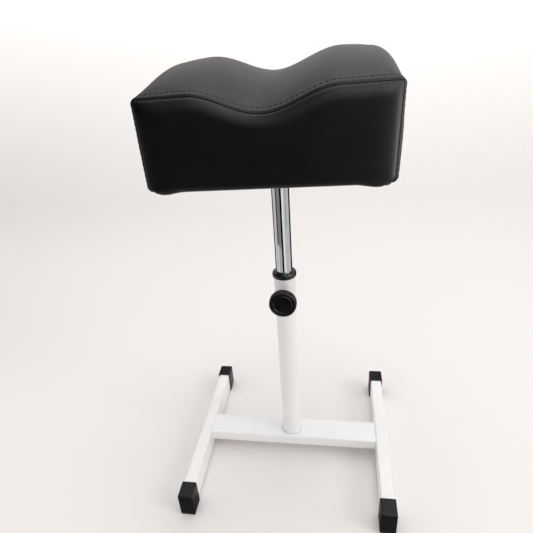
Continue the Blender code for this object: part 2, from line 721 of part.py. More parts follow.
def foam_core(swivel):
    """Adds the foam: the cover's form, one leather and one clearance smaller, on the board."""
    inset = LEATHER + CLEARANCE
    bm = bmesh.new()
    rings = []
    for step in range(DEPTH_STEPS + 1):
        depth_share = -math.cos(math.pi * step / DEPTH_STEPS)
        outline = shell_outline(depth_share, inset, FOAM_BOTTOM_Z)
        base = patch(outline, FOAM_BOTTOM_Z)[0]
        ring = outline + [(across, height) for across, height, _, _ in reversed(base[1:-1])]
        rings.append([bm.verts.new((across, depth_share * SEAM_DEPTH / 2, height - POST_BOTTOM_Z))
                      for across, height in ring])
    for near, far in zip(rings, rings[1:]):
        for index in range(len(near)):
            after = (index + 1) % len(near)
            bm.faces.new((near[index], near[after], far[after], far[index]))
    for ring, facing in ((rings[0], -1), (rings[-1], 1)):
        foam_end(bm, ring, facing, inset)
    return finish("foam_core", bm, foam(), swivel)


def foam_end(bm, ring, facing, inset):
    """Closes one end of the foam with a swelling grid inside the given ring."""
    cells = patch(shell_outline(1.0, inset, FOAM_BOTTOM_Z), FOAM_BOTTOM_Z)
    last_row = len(cells) - 1
    last_column = len(cells[0]) - 1
    outline_count = 2 * last_row + last_column + 1
    verts = {}
    for row, line in enumerate(cells):
        for column, (across, height, u, v) in enumerate(line):
            if column == 0:
                verts[row, column] = ring[row]
            elif column == last_column:
                verts[row, column] = ring[outline_count - 1 - row]
            elif row == last_row:
                verts[row, column] = ring[last_row + column]
            elif row == 0:
                verts[row, column] = ring[len(ring) - column]
            else:
                along = facing * (SEAM_DEPTH / 2 + panel_swell(u, v))
                verts[row, column] = bm.verts.new((across, along, height - POST_BOTTOM_Z))
    for row in range(last_row):
        for column in range(last_column):
            bm.faces.new((verts[row, column], verts[row, column + 1],
                          verts[row + 1, column + 1], verts[row + 1, column]))


def build_stand(base):
    """Builds the rails, caps, beam, column and collar."""
    for side_name, side in (("left", -1), ("right", 1)):
        rail(f"rail_{side_name}", side, base)
        for end_name, end in (("front", -1), ("back", 1)):
            end_cap(f"end_cap_{end_name}_{side_name}", side, end, base)
    cross_beam(base)
    collar(base)


def build_clamp(base):
    """Builds the clamp on an axis that points out of the column's front."""
    clamp_axis = empty("clamp_axis", (0.0, 0.0, CLAMP_Z), base, (math.pi / 2, 0.0, 0.0))
    column(base, clamp_axis)
    clamp_boss(base, clamp_axis)
    pad_axis = empty("pad_axis", (0.0, 0.0, 0.0), clamp_axis)
    knob_axis = empty("knob_axis", (0.0, 0.0, 0.0), pad_axis)
    pressure_pad(pad_axis)
    clamp_stud(knob_axis)
    knob_body(knob_axis)
    knob_disc(knob_axis)


def build_top(base):
    """Builds what slides and swivels: glide, post, plate and cushion."""
    lift = empty("height_slide", (0.0, 0.0, POST_BOTTOM_Z), base)
    swivel = empty("swivel_axis", (0.0, 0.0, 0.0), lift)
    post_glide(lift)
    post(swivel)
    mounting_plate(swivel)
    for name, across, along in screw_places():
        plate_screw(name, across, along, swivel)
    underside_cloth(swivel)
    base_board(swivel)
    foam_core(swivel)
    cover_band(swivel)
    cover_panel("cover_front", -1, swivel)
    cover_panel("cover_back", 1, swivel)


def main():
    """Builds the whole footrest."""
    clear_scene()
    base = empty("base_frame", (0.0, 0.0, 0.0))
    build_stand(base)
    build_clamp(base)
    build_top(base)


main()
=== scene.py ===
"""Dresses the packed pedicure footrest: finishes, stuffed and stitched cover, welds, thread, studio.

Metres throughout, in the packed frame: +Z up, X along the cross beam and the cushion, the clamp
knob towards -Y, and the origin on the floor under the column.
"""

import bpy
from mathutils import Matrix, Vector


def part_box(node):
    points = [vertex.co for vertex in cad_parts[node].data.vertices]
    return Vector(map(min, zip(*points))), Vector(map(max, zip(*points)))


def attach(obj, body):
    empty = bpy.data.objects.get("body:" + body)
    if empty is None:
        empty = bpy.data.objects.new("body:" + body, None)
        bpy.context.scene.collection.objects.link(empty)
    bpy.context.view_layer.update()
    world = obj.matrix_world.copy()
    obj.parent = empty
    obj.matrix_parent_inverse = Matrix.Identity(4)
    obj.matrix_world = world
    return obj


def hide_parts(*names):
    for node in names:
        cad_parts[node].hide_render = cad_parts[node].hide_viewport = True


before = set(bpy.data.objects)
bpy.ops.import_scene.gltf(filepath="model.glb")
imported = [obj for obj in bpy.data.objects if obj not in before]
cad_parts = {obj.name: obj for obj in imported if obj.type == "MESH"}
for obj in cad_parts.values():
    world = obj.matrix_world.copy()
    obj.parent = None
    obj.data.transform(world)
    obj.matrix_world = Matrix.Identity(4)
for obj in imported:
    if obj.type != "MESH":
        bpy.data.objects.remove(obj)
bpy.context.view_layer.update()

import logging
import math
from dataclasses import dataclass
from enum import Enum
from typing import Iterable, Sequence

import bmesh
import bpy
import numpy as np
from mathutils import Matrix, Vector
from mathutils.kdtree import KDTree

LOG = logging.getLogger("footrest")
MM = 0.001
PICTURE = 533
SENSOR_MM = 36.0
# The length of one wave of the wave texture at a scale of one.
WAVE_LENGTH = 0.314
# How near points and directions are when they count as one, and a length that stands for none.
AXIS_MERGE = 0.000002
SEAM_MERGE = 0.00005
SAME_WAY = 0.999
NO_LENGTH = 1e-9
SCREWS = tuple(f"plate_screw_{end}_{side}" for end in ("front", "back") for side in ("left", "right"))

BMesh = bmesh.types.BMesh
Object = bpy.types.Object
Tree = bpy.types.NodeTree
Socket = bpy.types.NodeSocket
Point = tuple[float, float]
Place = tuple[float, float, float]


class Body(Enum):
    """The moving bodies of the packed model."""

    BASE = "base"
    HEAD = "head"
    KNOB = "knob"


class Slot(Enum):
    """The record's material slots."""

    STEEL = "white_steel"
    PLASTIC = "black_plastic"
    GLOSS = "gloss_black_plastic"
    CHROME = "chrome"
    ZINC = "zinc_steel"
    LEATHER = "black_leatherette"
    PLYWOOD = "plywood"
    FOAM = "foam"
    FABRIC = "underside_fabric"


class Facing(Enum):
    """The two sewn panels of the cover; the value is the sign of Y that they face."""

    FRONT = -1
    BACK = 1


class Texture(Enum):
    """The textures of the finishes: the node's type, its settings and the output that is read."""

    CLOUDS = ("ShaderNodeTexNoise", {}, "Fac")
    CELLS = ("ShaderNodeTexVoronoi", {}, "Distance")
    PEBBLES = ("ShaderNodeTexVoronoi", {"feature": "SMOOTH_F1"}, "Distance")


def linear(colour: str) -> tuple[float, float, float, float]:
    """Turns an sRGB hex colour to linear RGBA.

    Args:
        colour: the colour, such as "#F4F4F2".

    Returns:
        Red, green, blue and an alpha of one.
    """
    channels = [int(colour[start:start + 2], 16) / 255.0 for start in (1, 3, 5)]
    lit = [c / 12.92 if c <= 0.04045 else ((c + 0.055) / 1.055) ** 2.4 for c in channels]
    return (*lit, 1.0)


def add_node(tree: Tree, kind: str, settings: dict | None = None,
             inputs: dict | None = None) -> bpy.types.Node:
    """Adds a node with its settings and links.

    Args:
        tree: the node tree.
        kind: the node's type.
        settings: values for the node's own properties.
        inputs: for each socket a value, or the output socket that feeds it.

    Returns:
        The new node.
    """
    node = tree.nodes.new(kind)
    for key, value in (settings or {}).items():
        setattr(node, key, value)
    for key, value in (inputs or {}).items():
        if isinstance(value, Socket):
            tree.links.new(value, node.inputs[key])
        else:
            node.inputs[key].default_value = value
    return node


@dataclass(frozen=True)
class Grain:
    """A texture at its real width, and how deep it stands in the surface."""

    texture: Texture
    width_mm: float
    depth_mm: float = 0.0
    extra: tuple[str, float] | None = None
    sunk: bool = False

    def value(self, tree: Tree, where: Socket) -> Socket:
        """Adds the texture.

        Args:
            tree: the node tree.
            where: the coordinates that it reads.

        Returns:
            The socket of its value.
        """
        kind, settings, output = self.texture.value
        inputs = {"Vector": where, "Scale": 1 / (self.width_mm * MM)}
        if self.extra:
            inputs[self.extra[0]] = self.extra[1]
        return add_node(tree, kind, settings, inputs).outputs[output]


@dataclass(frozen=True)
class Finish:
    """A surface finish, whose material is built once.

    Two tones blend by a pattern, and so does the roughness where it is a pair. The pattern, if it
    has a depth, and the reliefs stand in the surface.
    """

    name: str
    slot: Slot
    tones: tuple[str, str]
    pattern: Grain
    reliefs: tuple[Grain, ...] = ()
    blend: Point = (0.3, 0.7)
    roughness: float | Point = 0.5
    gloss_blend: Point = (0.0, 1.0)
    metallic: float = 0.0
    specular: float = 0.5
    sheen: float = 0.0

    def material(self) -> bpy.types.Material:
        """Finds the finish's material, or makes it.

        Returns:
            The material.
        """
        made = bpy.data.materials.get(self.name)
        if made is None:
            made = bpy.data.materials.new(self.name)
            made.use_nodes = True
            made.node_tree.nodes.clear()
            shader = self.lay_out(made.node_tree)
            add_node(made.node_tree, "ShaderNodeOutputMaterial", inputs={"Surface": shader.outputs["BSDF"]})
        return made

    def lay_out(self, tree: Tree) -> bpy.types.Node:
        """Builds the finish's nodes.

        Args:
            tree: the material's node tree.

        Returns:
            The shader.
        """
        where = add_node(tree, "ShaderNodeTexCoord").outputs["Object"]
        pattern = self.patterned(tree, where)
        inputs = {"Base Color": self.toned(tree, where, pattern), "Roughness": self.roughness,
                  "Metallic": self.metallic, "Specular IOR Level": self.specular, "Sheen Weight": self.sheen}
        if isinstance(self.roughness, tuple):
            (low, high), (bright, dull) = self.gloss_blend, self.roughness
            gloss = add_node(tree, "ShaderNodeMapRange",
                             inputs={"Value": pattern, "From Min": low, "From Max": high,
                                     "To Min": bright, "To Max": dull})
            inputs["Roughness"] = gloss.outputs["Result"]
        normal = {}
        for grain in (self.pattern, *self.reliefs):
            if grain.depth_mm:
                height = pattern if grain is self.pattern else grain.value(tree, where)
                bump = add_node(tree, "ShaderNodeBump", {"invert": grain.sunk},
                                {"Height": height, "Distance": grain.depth_mm * MM, **normal})
                normal = {"Normal": bump.outputs["Normal"]}
        return add_node(tree, "ShaderNodeBsdfPrincipled", inputs={**inputs, **normal})

    def patterned(self, tree: Tree, where: Socket) -> Socket:
        """Returns the value of the pattern that the tones follow."""
        return self.pattern.value(tree, where)

    def toned(self, tree: Tree, where: Socket, pattern: Socket) -> Socket:
        """Blends the tones by the pattern.

        Args:
            tree: the node tree.
            where: the Object coordinates, for a finish that draws on the surface.
            pattern: the pattern's value.

        Returns:
            The colour's socket.
        """
        ramp = add_node(tree, "ShaderNodeValToRGB", inputs={"Fac": pattern})
        for element, place, tone in zip(ramp.color_ramp.elements, self.blend, self.tones):
            element.position = place
            element.color = linear(tone)
        return ramp.outputs["Color"]


@dataclass(frozen=True)
class WeldShadowCoat(Finish):
    """A coat with a painted shadow: a thin grey ring where shade falls round a weld about the column's axis.
    """

    # The ring of painted shadow: its radius, its width and its grey.
    shadow_ring_radius_mm: float = 17.9
    shadow_ring_width_mm: float = 0.45
    shadow_ring_tone: str = "#8F8A88"

    def toned(self, tree: Tree, where: Socket, pattern: Socket) -> Socket:
        """Draws the painted shadow ring over the coat's tones.

        Args:
            tree: the node tree.
            where: the Object coordinates, whose Z axis is the column's.
            pattern: the pattern's value.

        Returns:
            The colour's socket.
        """
        coat = super().toned(tree, where, pattern)
        flat = add_node(tree, "ShaderNodeMapping", inputs={"Vector": where, "Scale": (1.0, 1.0, 0.0)})
        away = add_node(tree, "ShaderNodeVectorMath", {"operation": "LENGTH"}, {0: flat.outputs["Vector"]})
        off = add_node(tree, "ShaderNodeMath", {"operation": "SUBTRACT"},
                       {0: away.outputs["Value"], 1: self.shadow_ring_radius_mm * MM})
        near = add_node(tree, "ShaderNodeMath", {"operation": "ABSOLUTE"}, {0: off.outputs["Value"]})
        share = add_node(tree, "ShaderNodeMapRange",
                         inputs={"Value": near.outputs["Value"], "From Max": self.shadow_ring_width_mm * MM,
                                 "To Min": 1.0, "To Max": 0.0})
        # The painted shadow greys the coat near the ring.
        mixed = add_node(tree, "ShaderNodeMix", {"data_type": "RGBA"},
                         {0: share.outputs["Result"], 6: coat, 7: linear(self.shadow_ring_tone)})
        return mixed.outputs[2]


@dataclass(frozen=True)
class BirchPly(Finish):
    """Wood whose grain runs along X and whose plies lie across Z."""

    stretch: float = 0.06
    ply_mm: float = 3.2
    ply_waver: float = 0.4

    def patterned(self, tree: Tree, where: Socket) -> Socket:
        """Multiplies the long grain by the plies.

        Args:
            tree: the node tree.
            where: the Object coordinates.

        Returns:
            The socket of the product.
        """
        along_x = add_node(tree, "ShaderNodeMapping",
                           inputs={"Vector": where, "Scale": (self.stretch, 1.0, 1.0)})
        plies = add_node(tree, "ShaderNodeTexWave", {"bands_direction": "Z"},
                         {"Vector": where, "Scale": WAVE_LENGTH / (self.ply_mm * MM),
                          "Distortion": self.ply_waver})
        return add_node(tree, "ShaderNodeMath", {"operation": "MULTIPLY"},
                        {0: self.pattern.value(tree, along_x.outputs["Vector"]),
                         1: plies.outputs["Fac"]}).outputs["Value"]


# Polyester powder coat, baked on steel: an even satin white with a faint orange peel.
POWDER_COAT = Finish("polyester_powder_coat_white", Slot.STEEL, ("#F6F5F4", "#F0EFEE"),
                     Grain(Texture.CLOUDS, 70.0), (Grain(Texture.CLOUDS, 2.4, 0.010, ("Detail", 1.0)),),
                     roughness=0.36)
# The same coat for the cross beam, with a ring of painted shadow round the column's weld.
POWDER_COAT_WELD_SHADOW = WeldShadowCoat(**{**vars(POWDER_COAT),
                                          "name": "polyester_powder_coat_white_weld_shadow"})
# The marks that hands and the mould leave in a plastic's gloss.
HANDLING = Grain(Texture.CLOUDS, 14.0, extra=("Detail", 4.0))
# ABS, moulded in a spark-eroded tool: a matt fine grain with handling marks in its gloss.
ABS_BLACK = Finish("abs_moulded_black", Slot.PLASTIC, ("#0B0C0D", "#111213"),
                   HANDLING, (Grain(Texture.CLOUDS, 0.55, 0.018),), roughness=(0.40, 0.52), specular=0.30)
# Nylon, moulded in a smooth tool: darker and glossier, with hardly a grain.
NYLON = Finish("nylon_moulded_black", Slot.PLASTIC, ("#0B0B0C", "#101011"),
               HANDLING, (Grain(Texture.CLOUDS, 0.55, 0.004),), roughness=(0.24, 0.34), specular=0.45)
# ABS, moulded in a polished tool: a smooth semi-gloss with soft clear highlights.
ABS_GLOSS = Finish("abs_polished_black", Slot.GLOSS, ("#0C0C0D", "#111112"), HANDLING,
                   roughness=(0.10, 0.20))
# Chrome plate, polished: mirrors the room with hardly a haze.
CHROME = Finish("chrome_plate_polished", Slot.CHROME, ("#E3E5E7", "#DCDEE0"),
                Grain(Texture.CLOUDS, 9.0, extra=("Detail", 5.0)), roughness=(0.04, 0.09),
                gloss_blend=(0.35, 0.7), metallic=1.0)
# Bright zinc plate: scatters the room in soft spangles.
ZINC = Finish("zinc_plate_bright", Slot.ZINC, ("#B9BDC1", "#A4A8AD"),
              Grain(Texture.CLOUDS, 1.5, extra=("Detail", 5.0)), roughness=(0.24, 0.40),
              gloss_blend=(0.35, 0.7), metallic=1.0)
# PVC leatherette, embossed: deep black face on, grey at a grazing angle, with a fine pebble grain.
LEATHERETTE = Finish("pvc_leatherette_black", Slot.LEATHER, ("#070708", "#0B0B0C"),
                     Grain(Texture.CLOUDS, 45.0, extra=("Detail", 3.0)),
                     (Grain(Texture.CLOUDS, 0.45, 0.015, ("Detail", 1.0)),
                      Grain(Texture.PEBBLES, 1.3, 0.035, ("Smoothness", 0.6), sunk=True)),
                     roughness=(0.35, 0.44), specular=0.26)
# Polyester yarn, twisted: dull and fuzzy, with a fine cross texture.
THREAD = Finish("polyester_thread_black", Slot.LEATHER, ("#1C1C1E", "#0B0B0C"),
                Grain(Texture.CELLS, 0.35, 0.08), blend=(0.0, 0.6), roughness=0.75, sheen=0.25)
# Non-woven polypropylene, bonded in points: a dull charcoal that softens at its edges.
DUST_CLOTH = Finish("nonwoven_polypropylene_black", Slot.FABRIC, ("#242427", "#141416"),
                    Grain(Texture.CELLS, 1.5, 0.10), blend=(0.0, 0.6), roughness=0.9, sheen=0.4)
# Birch plywood, sanded: pale long grain on the faces and thin dark glue lines on the edges.
PLYWOOD = BirchPly("birch_plywood_sanded", Slot.PLYWOOD, ("#C6A576", "#D9BE94"),
                   Grain(Texture.CLOUDS, 3.0, extra=("Detail", 5.0)), blend=(0.1, 0.7), roughness=0.62)
# Polyurethane foam, sawn: soft cream cells that take no gloss.
FOAM = Finish("polyurethane_foam_cream", Slot.FOAM, ("#CDBF92", "#E2D8B4"), Grain(Texture.CELLS, 1.6, 0.4),
              roughness=0.95)


def linked(name: str, data: bpy.types.ID) -> Object:
    """Puts data in the scene as an object.

    Args:
        name: the object's name.
        data: its mesh, lamp or camera.

    Returns:
        The object.
    """
    made = bpy.data.objects.new(name, data)
    bpy.context.scene.collection.objects.link(made)
    return made


def placed(name: str, bm: BMesh) -> Object:
    """Puts a bmesh in the scene as an object.

    Args:
        name: the object's name.
        bm: its mesh, which is used up.

    Returns:
        The object.
    """
    mesh = bpy.data.meshes.new(name)
    bm.to_mesh(mesh)
    bm.free()
    return linked(name, mesh)


def removed(*done: Object) -> None:
    """Takes objects and their meshes away.

    Args:
        done: the objects.
    """
    for item in done:
        mesh = item.data
        bpy.data.objects.remove(item)
        bpy.data.meshes.remove(mesh)


def walled(piece: Object, name: str, thickness: float, offset: float) -> None:
    """Gives an open piece a wall.

    Args:
        piece: the piece.
        name: the modifier's name.
        thickness: the wall's thickness.
        offset: -1 for a wall inside the mesh, 0 for one about it.
    """
    wall = piece.modifiers.new(name, "SOLIDIFY")
    wall.thickness = thickness
    wall.offset = offset


def carved(bm: BMesh, cutter: BMesh) -> BMesh:
    """Takes one closed form out of another.

    Args:
        bm: the form that is cut; it is used up.
        cutter: the form that is taken out; it is used up.

    Returns:
        What is left.
    """
    for form in (bm, cutter):
        bmesh.ops.recalc_face_normals(form, faces=form.faces)
    target, tool = placed("carve_target", bm), placed("carve_cutter", cutter)
    modifier = target.modifiers.new("carve", "BOOLEAN")
    modifier.operation = "DIFFERENCE"
    modifier.solver = "EXACT"
    modifier.object = tool
    left = bmesh.new()
    left.from_object(target, bpy.context.evaluated_depsgraph_get())
    removed(target, tool)
    return left


def wire(bm: BMesh, places: Iterable[Place]) -> tuple[list[bmesh.types.BMVert], list[bmesh.types.BMEdge]]:
    """Adds a line of points to a form and returns the points and its edges."""
    points = [bm.verts.new(place) for place in places]
    return points, [bm.edges.new(pair) for pair in zip(points, points[1:])]


def turned(profile: Sequence[Point], steps: int, closed: bool = True) -> BMesh:
    """Spins a profile about Z.

    Args:
        profile: points as (radius, height).
        steps: facets in the full turn.
        closed: whether the last point joins the first; otherwise both ends lie on the axis.

    Returns:
        The closed form.
    """
    bm = bmesh.new()
    points, edges = wire(bm, [(radius, 0.0, height) for radius, height in profile])
    if closed:
        edges.append(bm.edges.new((points[-1], points[0])))
    bmesh.ops.spin(bm, geom=points + edges, cent=(0.0, 0.0, 0.0), axis=(0.0, 0.0, 1.0),
                   angle=math.tau, steps=steps, use_merge=True)
    bmesh.ops.remove_doubles(bm, verts=bm.verts, dist=AXIS_MERGE)
    bmesh.ops.recalc_face_normals(bm, faces=bm.faces)
    return bm


def plug(radius: float, low: float, high: float, steps: int) -> BMesh:
    """Returns a round plug about Z between two heights, to carve a hole with."""
    return turned([(0.0, low), (radius, low), (radius, high), (0.0, high)], steps, closed=False)


def arc(centre: Point, radius: float, start: float, end: float, steps: int) -> list[Point]:
    """Gives points on a round edge of a profile.

    Args:
        centre: the arc's centre.
        radius: its radius.
        start: the first angle in degrees.
        end: the last angle.
        steps: how many parts it has.

    Returns:
        The points from start to end.
    """
    angles = np.radians(np.linspace(start, end, steps + 1))
    return [(centre[0] + radius * math.cos(a), centre[1] + radius * math.sin(a)) for a in angles]


def rippled(bm: BMesh, beyond: float, depth: float, ripples: int) -> BMesh:
    """Ripples what lies outside a radius about Z, as the steps of a weld do.

    Args:
        bm: the form.
        beyond: the radius.
        depth: the ripples' depth.
        ripples: how many there are in a turn.

    Returns:
        The same form.
    """
    for vert in bm.verts:
        out = Vector((vert.co.x, vert.co.y, 0.0))
        if out.length > beyond:
            vert.co += out.normalized() * depth * math.sin(ripples * math.atan2(out.y, out.x))
    return bm


def block(low: Vector, high: Vector) -> BMesh:
    """Makes a plain block between two corners, to be bevelled and opened.

    Args:
        low: its lowest corner.
        high: its highest corner.

    Returns:
        The block.
    """
    bm = bmesh.new()
    place = Matrix.Translation((low + high) / 2) @ Matrix.Diagonal((*(high - low), 1.0))
    bmesh.ops.create_cube(bm, size=1.0, matrix=place)
    return bm


def soften(bm: BMesh, edges: Sequence[bmesh.types.BMEdge], radius: float, segments: int) -> None:
    """Rounds edges to a radius, in so many facets."""
    bmesh.ops.bevel(bm, geom=edges, offset=radius, offset_type="OFFSET", segments=segments, profile=0.5,
                    affect="EDGES", material=-1, clamp_overlap=True)


def cut(bm: BMesh, place: Place, normal: Place, **cleared: bool) -> None:
    """Cuts a form by a plane; cleared names the side that goes, if one does."""
    bmesh.ops.bisect_plane(bm, geom=bm.verts[:] + bm.edges[:] + bm.faces[:], plane_co=place, plane_no=normal,
                           **cleared)


def along(bm: BMesh, axis: int) -> list[bmesh.types.BMEdge]:
    """Returns the edges that run along one axis."""
    runs = [(edge, edge.verts[1].co - edge.verts[0].co) for edge in bm.edges]
    return [edge for edge, run in runs if abs(run[axis]) > SAME_WAY * run.length]


def facing(bm: BMesh, axis: int, sign: int) -> list[bmesh.types.BMFace]:
    """Returns the flat faces that look along one signed axis."""
    bm.normal_update()
    return [face for face in bm.faces if face.normal[axis] * sign > SAME_WAY]


def verts_of(geom: Iterable[object]) -> list[bmesh.types.BMVert]:
    """Returns the points in what an operator made."""
    return [item for item in geom if isinstance(item, bmesh.types.BMVert)]


@dataclass
class Workshop:
    """Turns finished bmeshes into pieces that ride on the packed bodies."""

    crease: float = math.radians(32.0)
    weld_distance: float = 0.00001

    def piece(self, name: str, bm: BMesh, finish: Finish, body: Body, replaces: Iterable[str] = (),
              solid: bool = True) -> Object:
        """Makes a piece of a bmesh.

        Args:
            name: the piece's name.
            bm: its mesh, in place; it is used up.
            finish: what it is finished with.
            body: the body that it rides on.
            replaces: the packed nodes that it stands for.
            solid: whether the mesh is closed already, so that its faces can be turned outwards.

        Returns:
            The piece's object.
        """
        bmesh.ops.remove_doubles(bm, verts=bm.verts, dist=self.weld_distance)
        if solid:
            bmesh.ops.recalc_face_normals(bm, faces=bm.faces)
        made = placed(name, bm)
        made.data.shade_smooth()
        made.data.set_sharp_from_angle(angle=self.crease)
        made.data.materials.append(finish.material())
        if replaces:
            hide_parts(*replaces)
        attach(made, body.value)
        LOG.info("%s: %d faces, %s", name, len(made.data.polygons), finish.name)
        return made

    def dress(self, node: str, finish: Finish) -> None:
        """Gives a packed node that shows as it is its finish.

        Args:
            node: the node's name.
            finish: what it is finished with.
        """
        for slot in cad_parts[node].material_slots:
            slot.material = finish.material()
        LOG.info("%s: as packed, %s", node, finish.name)


@dataclass
class Stand:
    """The welded base: two rails and a cross beam of rectangular tube, with their four end caps."""

    shop: Workshop
    wall: float = 0.0015
    corner: float = 0.0025
    corner_segments: int = 6
    bead: float = 0.0016
    bead_steps: int = 4
    cap_corner: float = 0.0026
    cap_edge: float = 0.0012
    cap_edge_segments: int = 4
    cap_wall: float = 0.0020
    cap_end_wall: float = 0.0030
    column_hole: float = 0.0163
    hole_steps: int = 96
    hole_margin: float = 0.002

    @staticmethod
    def opened(bm: BMesh, axis: int, wall: float) -> None:
        """Opens a bar into a tube with a wall.

        Args:
            bm: the bar.
            axis: the axis that it runs along.
            wall: the wall's thickness at its ends.
        """
        ends = facing(bm, axis, 1) + facing(bm, axis, -1)
        bmesh.ops.inset_region(bm, faces=ends, thickness=wall, use_even_offset=True, use_boundary=True)
        bmesh.ops.delete(bm, geom=ends, context="FACES_ONLY")
        bmesh.ops.bridge_loops(bm, edges=[edge for edge in bm.edges if edge.is_boundary])

    def rail(self, name: str) -> None:
        """Builds one rail over its node.

        Args:
            name: the node.
        """
        bm = block(*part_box(name))
        soften(bm, along(bm, 1), self.corner, self.corner_segments)
        self.opened(bm, 1, self.wall)
        self.shop.piece(name + "_coated", bm, POWDER_COAT, Body.BASE, [name])

    def beam(self) -> None:
        """Builds the cross beam, whose ends swell into the weld beads along the rails."""
        low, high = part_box("cross_beam")
        middle = (low.z + high.z) / 2
        bm = block(low, high)
        soften(bm, along(bm, 0), self.corner, self.corner_segments)
        for end, sign in ((low.x, 1), (high.x, -1)):
            for step in range(1, self.bead_steps + 1):
                cut(bm, (end + sign * self.bead * step / self.bead_steps, 0.0, 0.0), (1.0, 0.0, 0.0))
        for vert in bm.verts:
            reach = min(vert.co.x - low.x, high.x - vert.co.x)
            share = max(0.0, 1.0 - reach / self.bead)
            growth = self.bead * (1.0 - math.sqrt(1.0 - share ** 2))
            vert.co.y += math.copysign(growth, vert.co.y)
            if vert.co.z < middle:
                vert.co.z -= growth
        self.opened(bm, 0, self.wall + self.bead)
        hole = plug(self.column_hole, middle, high.z + self.hole_margin, self.hole_steps)
        # Its coat carries a ring of painted shadow round the column's weld.
        self.shop.piece("cross_beam_coated", carved(bm, hole), POWDER_COAT_WELD_SHADOW, Body.BASE,
                        ["cross_beam"])

    def cap(self, name: str) -> None:
        """Builds one end cap: a sleeve with eased edges and a closed end.

        Args:
            name: the cap's node.
        """
        low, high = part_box(name)
        outer = 1 if high.y > 0.0 else -1
        bm = block(low, high)
        soften(bm, along(bm, 1), self.cap_corner, self.corner_segments)
        soften(bm, facing(bm, 1, outer)[0].edges[:], self.cap_edge, self.cap_edge_segments)
        mouth = facing(bm, 1, -outer)
        bmesh.ops.inset_region(bm, faces=mouth, thickness=self.cap_wall, use_even_offset=True,
                               use_boundary=True)
        pushed = bmesh.ops.extrude_face_region(bm, geom=mouth)["geom"]
        depth = high.y - low.y - self.cap_end_wall
        bmesh.ops.translate(bm, verts=verts_of(pushed), vec=(0.0, outer * depth, 0.0))
        bmesh.ops.delete(bm, geom=mouth, context="FACES_ONLY")
        self.shop.piece(name + "_moulded", bm, ABS_BLACK, Body.BASE, [name])

    def build(self) -> None:
        """Builds the whole base."""
        for side in ("left", "right"):
            self.rail(f"rail_{side}")
            for end in ("front", "back"):
                self.cap(f"end_cap_{end}_{side}")
        self.beam()


@dataclass
class Column:
    """The round column with its weld bead on the beam, and the bush pressed into its top."""

    shop: Workshop
    radius: float = 0.016
    wall: float = 0.0015
    rim: float = 0.0003
    bead: float = 0.0013
    bead_lift: float = 0.0009
    bead_gap: float = 0.0002
    bead_ripple: float = 0.00010
    bead_ripples: int = 26
    stud_hole: float = 0.0043
    stud_hole_steps: int = 32
    stud_hole_margin: float = 0.002
    bush_radius: float = 0.0181
    bush_bore: float = 0.0128
    bush_skirt: float = 0.0142
    bush_seat: float = 0.0003
    bush_edge: float = 0.0038
    bush_low_edge: float = 0.0022
    bush_bore_edge: float = 0.0008
    steps: int = 96

    def tube(self) -> None:
        """Builds the column and ripples the bead at its foot."""
        low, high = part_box("column_tube")
        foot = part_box("cross_beam")[1].z + self.bead_gap + self.bead_lift
        bore = self.radius - self.wall
        profile = [(bore, low.z), (self.radius, low.z), (self.radius, foot),
                   *arc((self.radius, foot), self.bead, 0.0, 90.0, 6),
                   (self.radius, high.z - self.rim), (self.radius - self.rim, high.z), (bore, high.z)]
        bm = rippled(turned(profile, self.steps), self.radius + self.bead_gap, self.bead_ripple,
                     self.bead_ripples)
        hole = plug(self.stud_hole, 0.0, self.radius + self.stud_hole_margin, self.stud_hole_steps)
        hole.transform(Clamp.axis())
        self.shop.piece("column_coated", carved(bm, hole), POWDER_COAT, Body.BASE, ["column_tube"])

    def bush(self) -> None:
        """Builds the bush with its rounded lip."""
        low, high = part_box("column_collar")
        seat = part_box("column_tube")[1].z + self.bush_seat
        edge, low_edge, bore_edge = self.bush_edge, self.bush_low_edge, self.bush_bore_edge
        profile = [(self.bush_bore, low.z), (self.bush_skirt, low.z), (self.bush_skirt, seat),
                   *arc((self.bush_radius - low_edge, seat + low_edge), low_edge, -90.0, 0.0, 6),
                   *arc((self.bush_radius - edge, high.z - edge), edge, 0.0, 90.0, 10),
                   *arc((self.bush_bore + bore_edge, high.z - bore_edge), bore_edge, 90.0, 180.0, 4)]
        self.shop.piece("column_bush_moulded", turned(profile, self.steps), NYLON, Body.BASE,
                        ["column_collar"])

    def build(self) -> None:
        """Builds the column and its bush."""
        self.tube()
        self.bush()


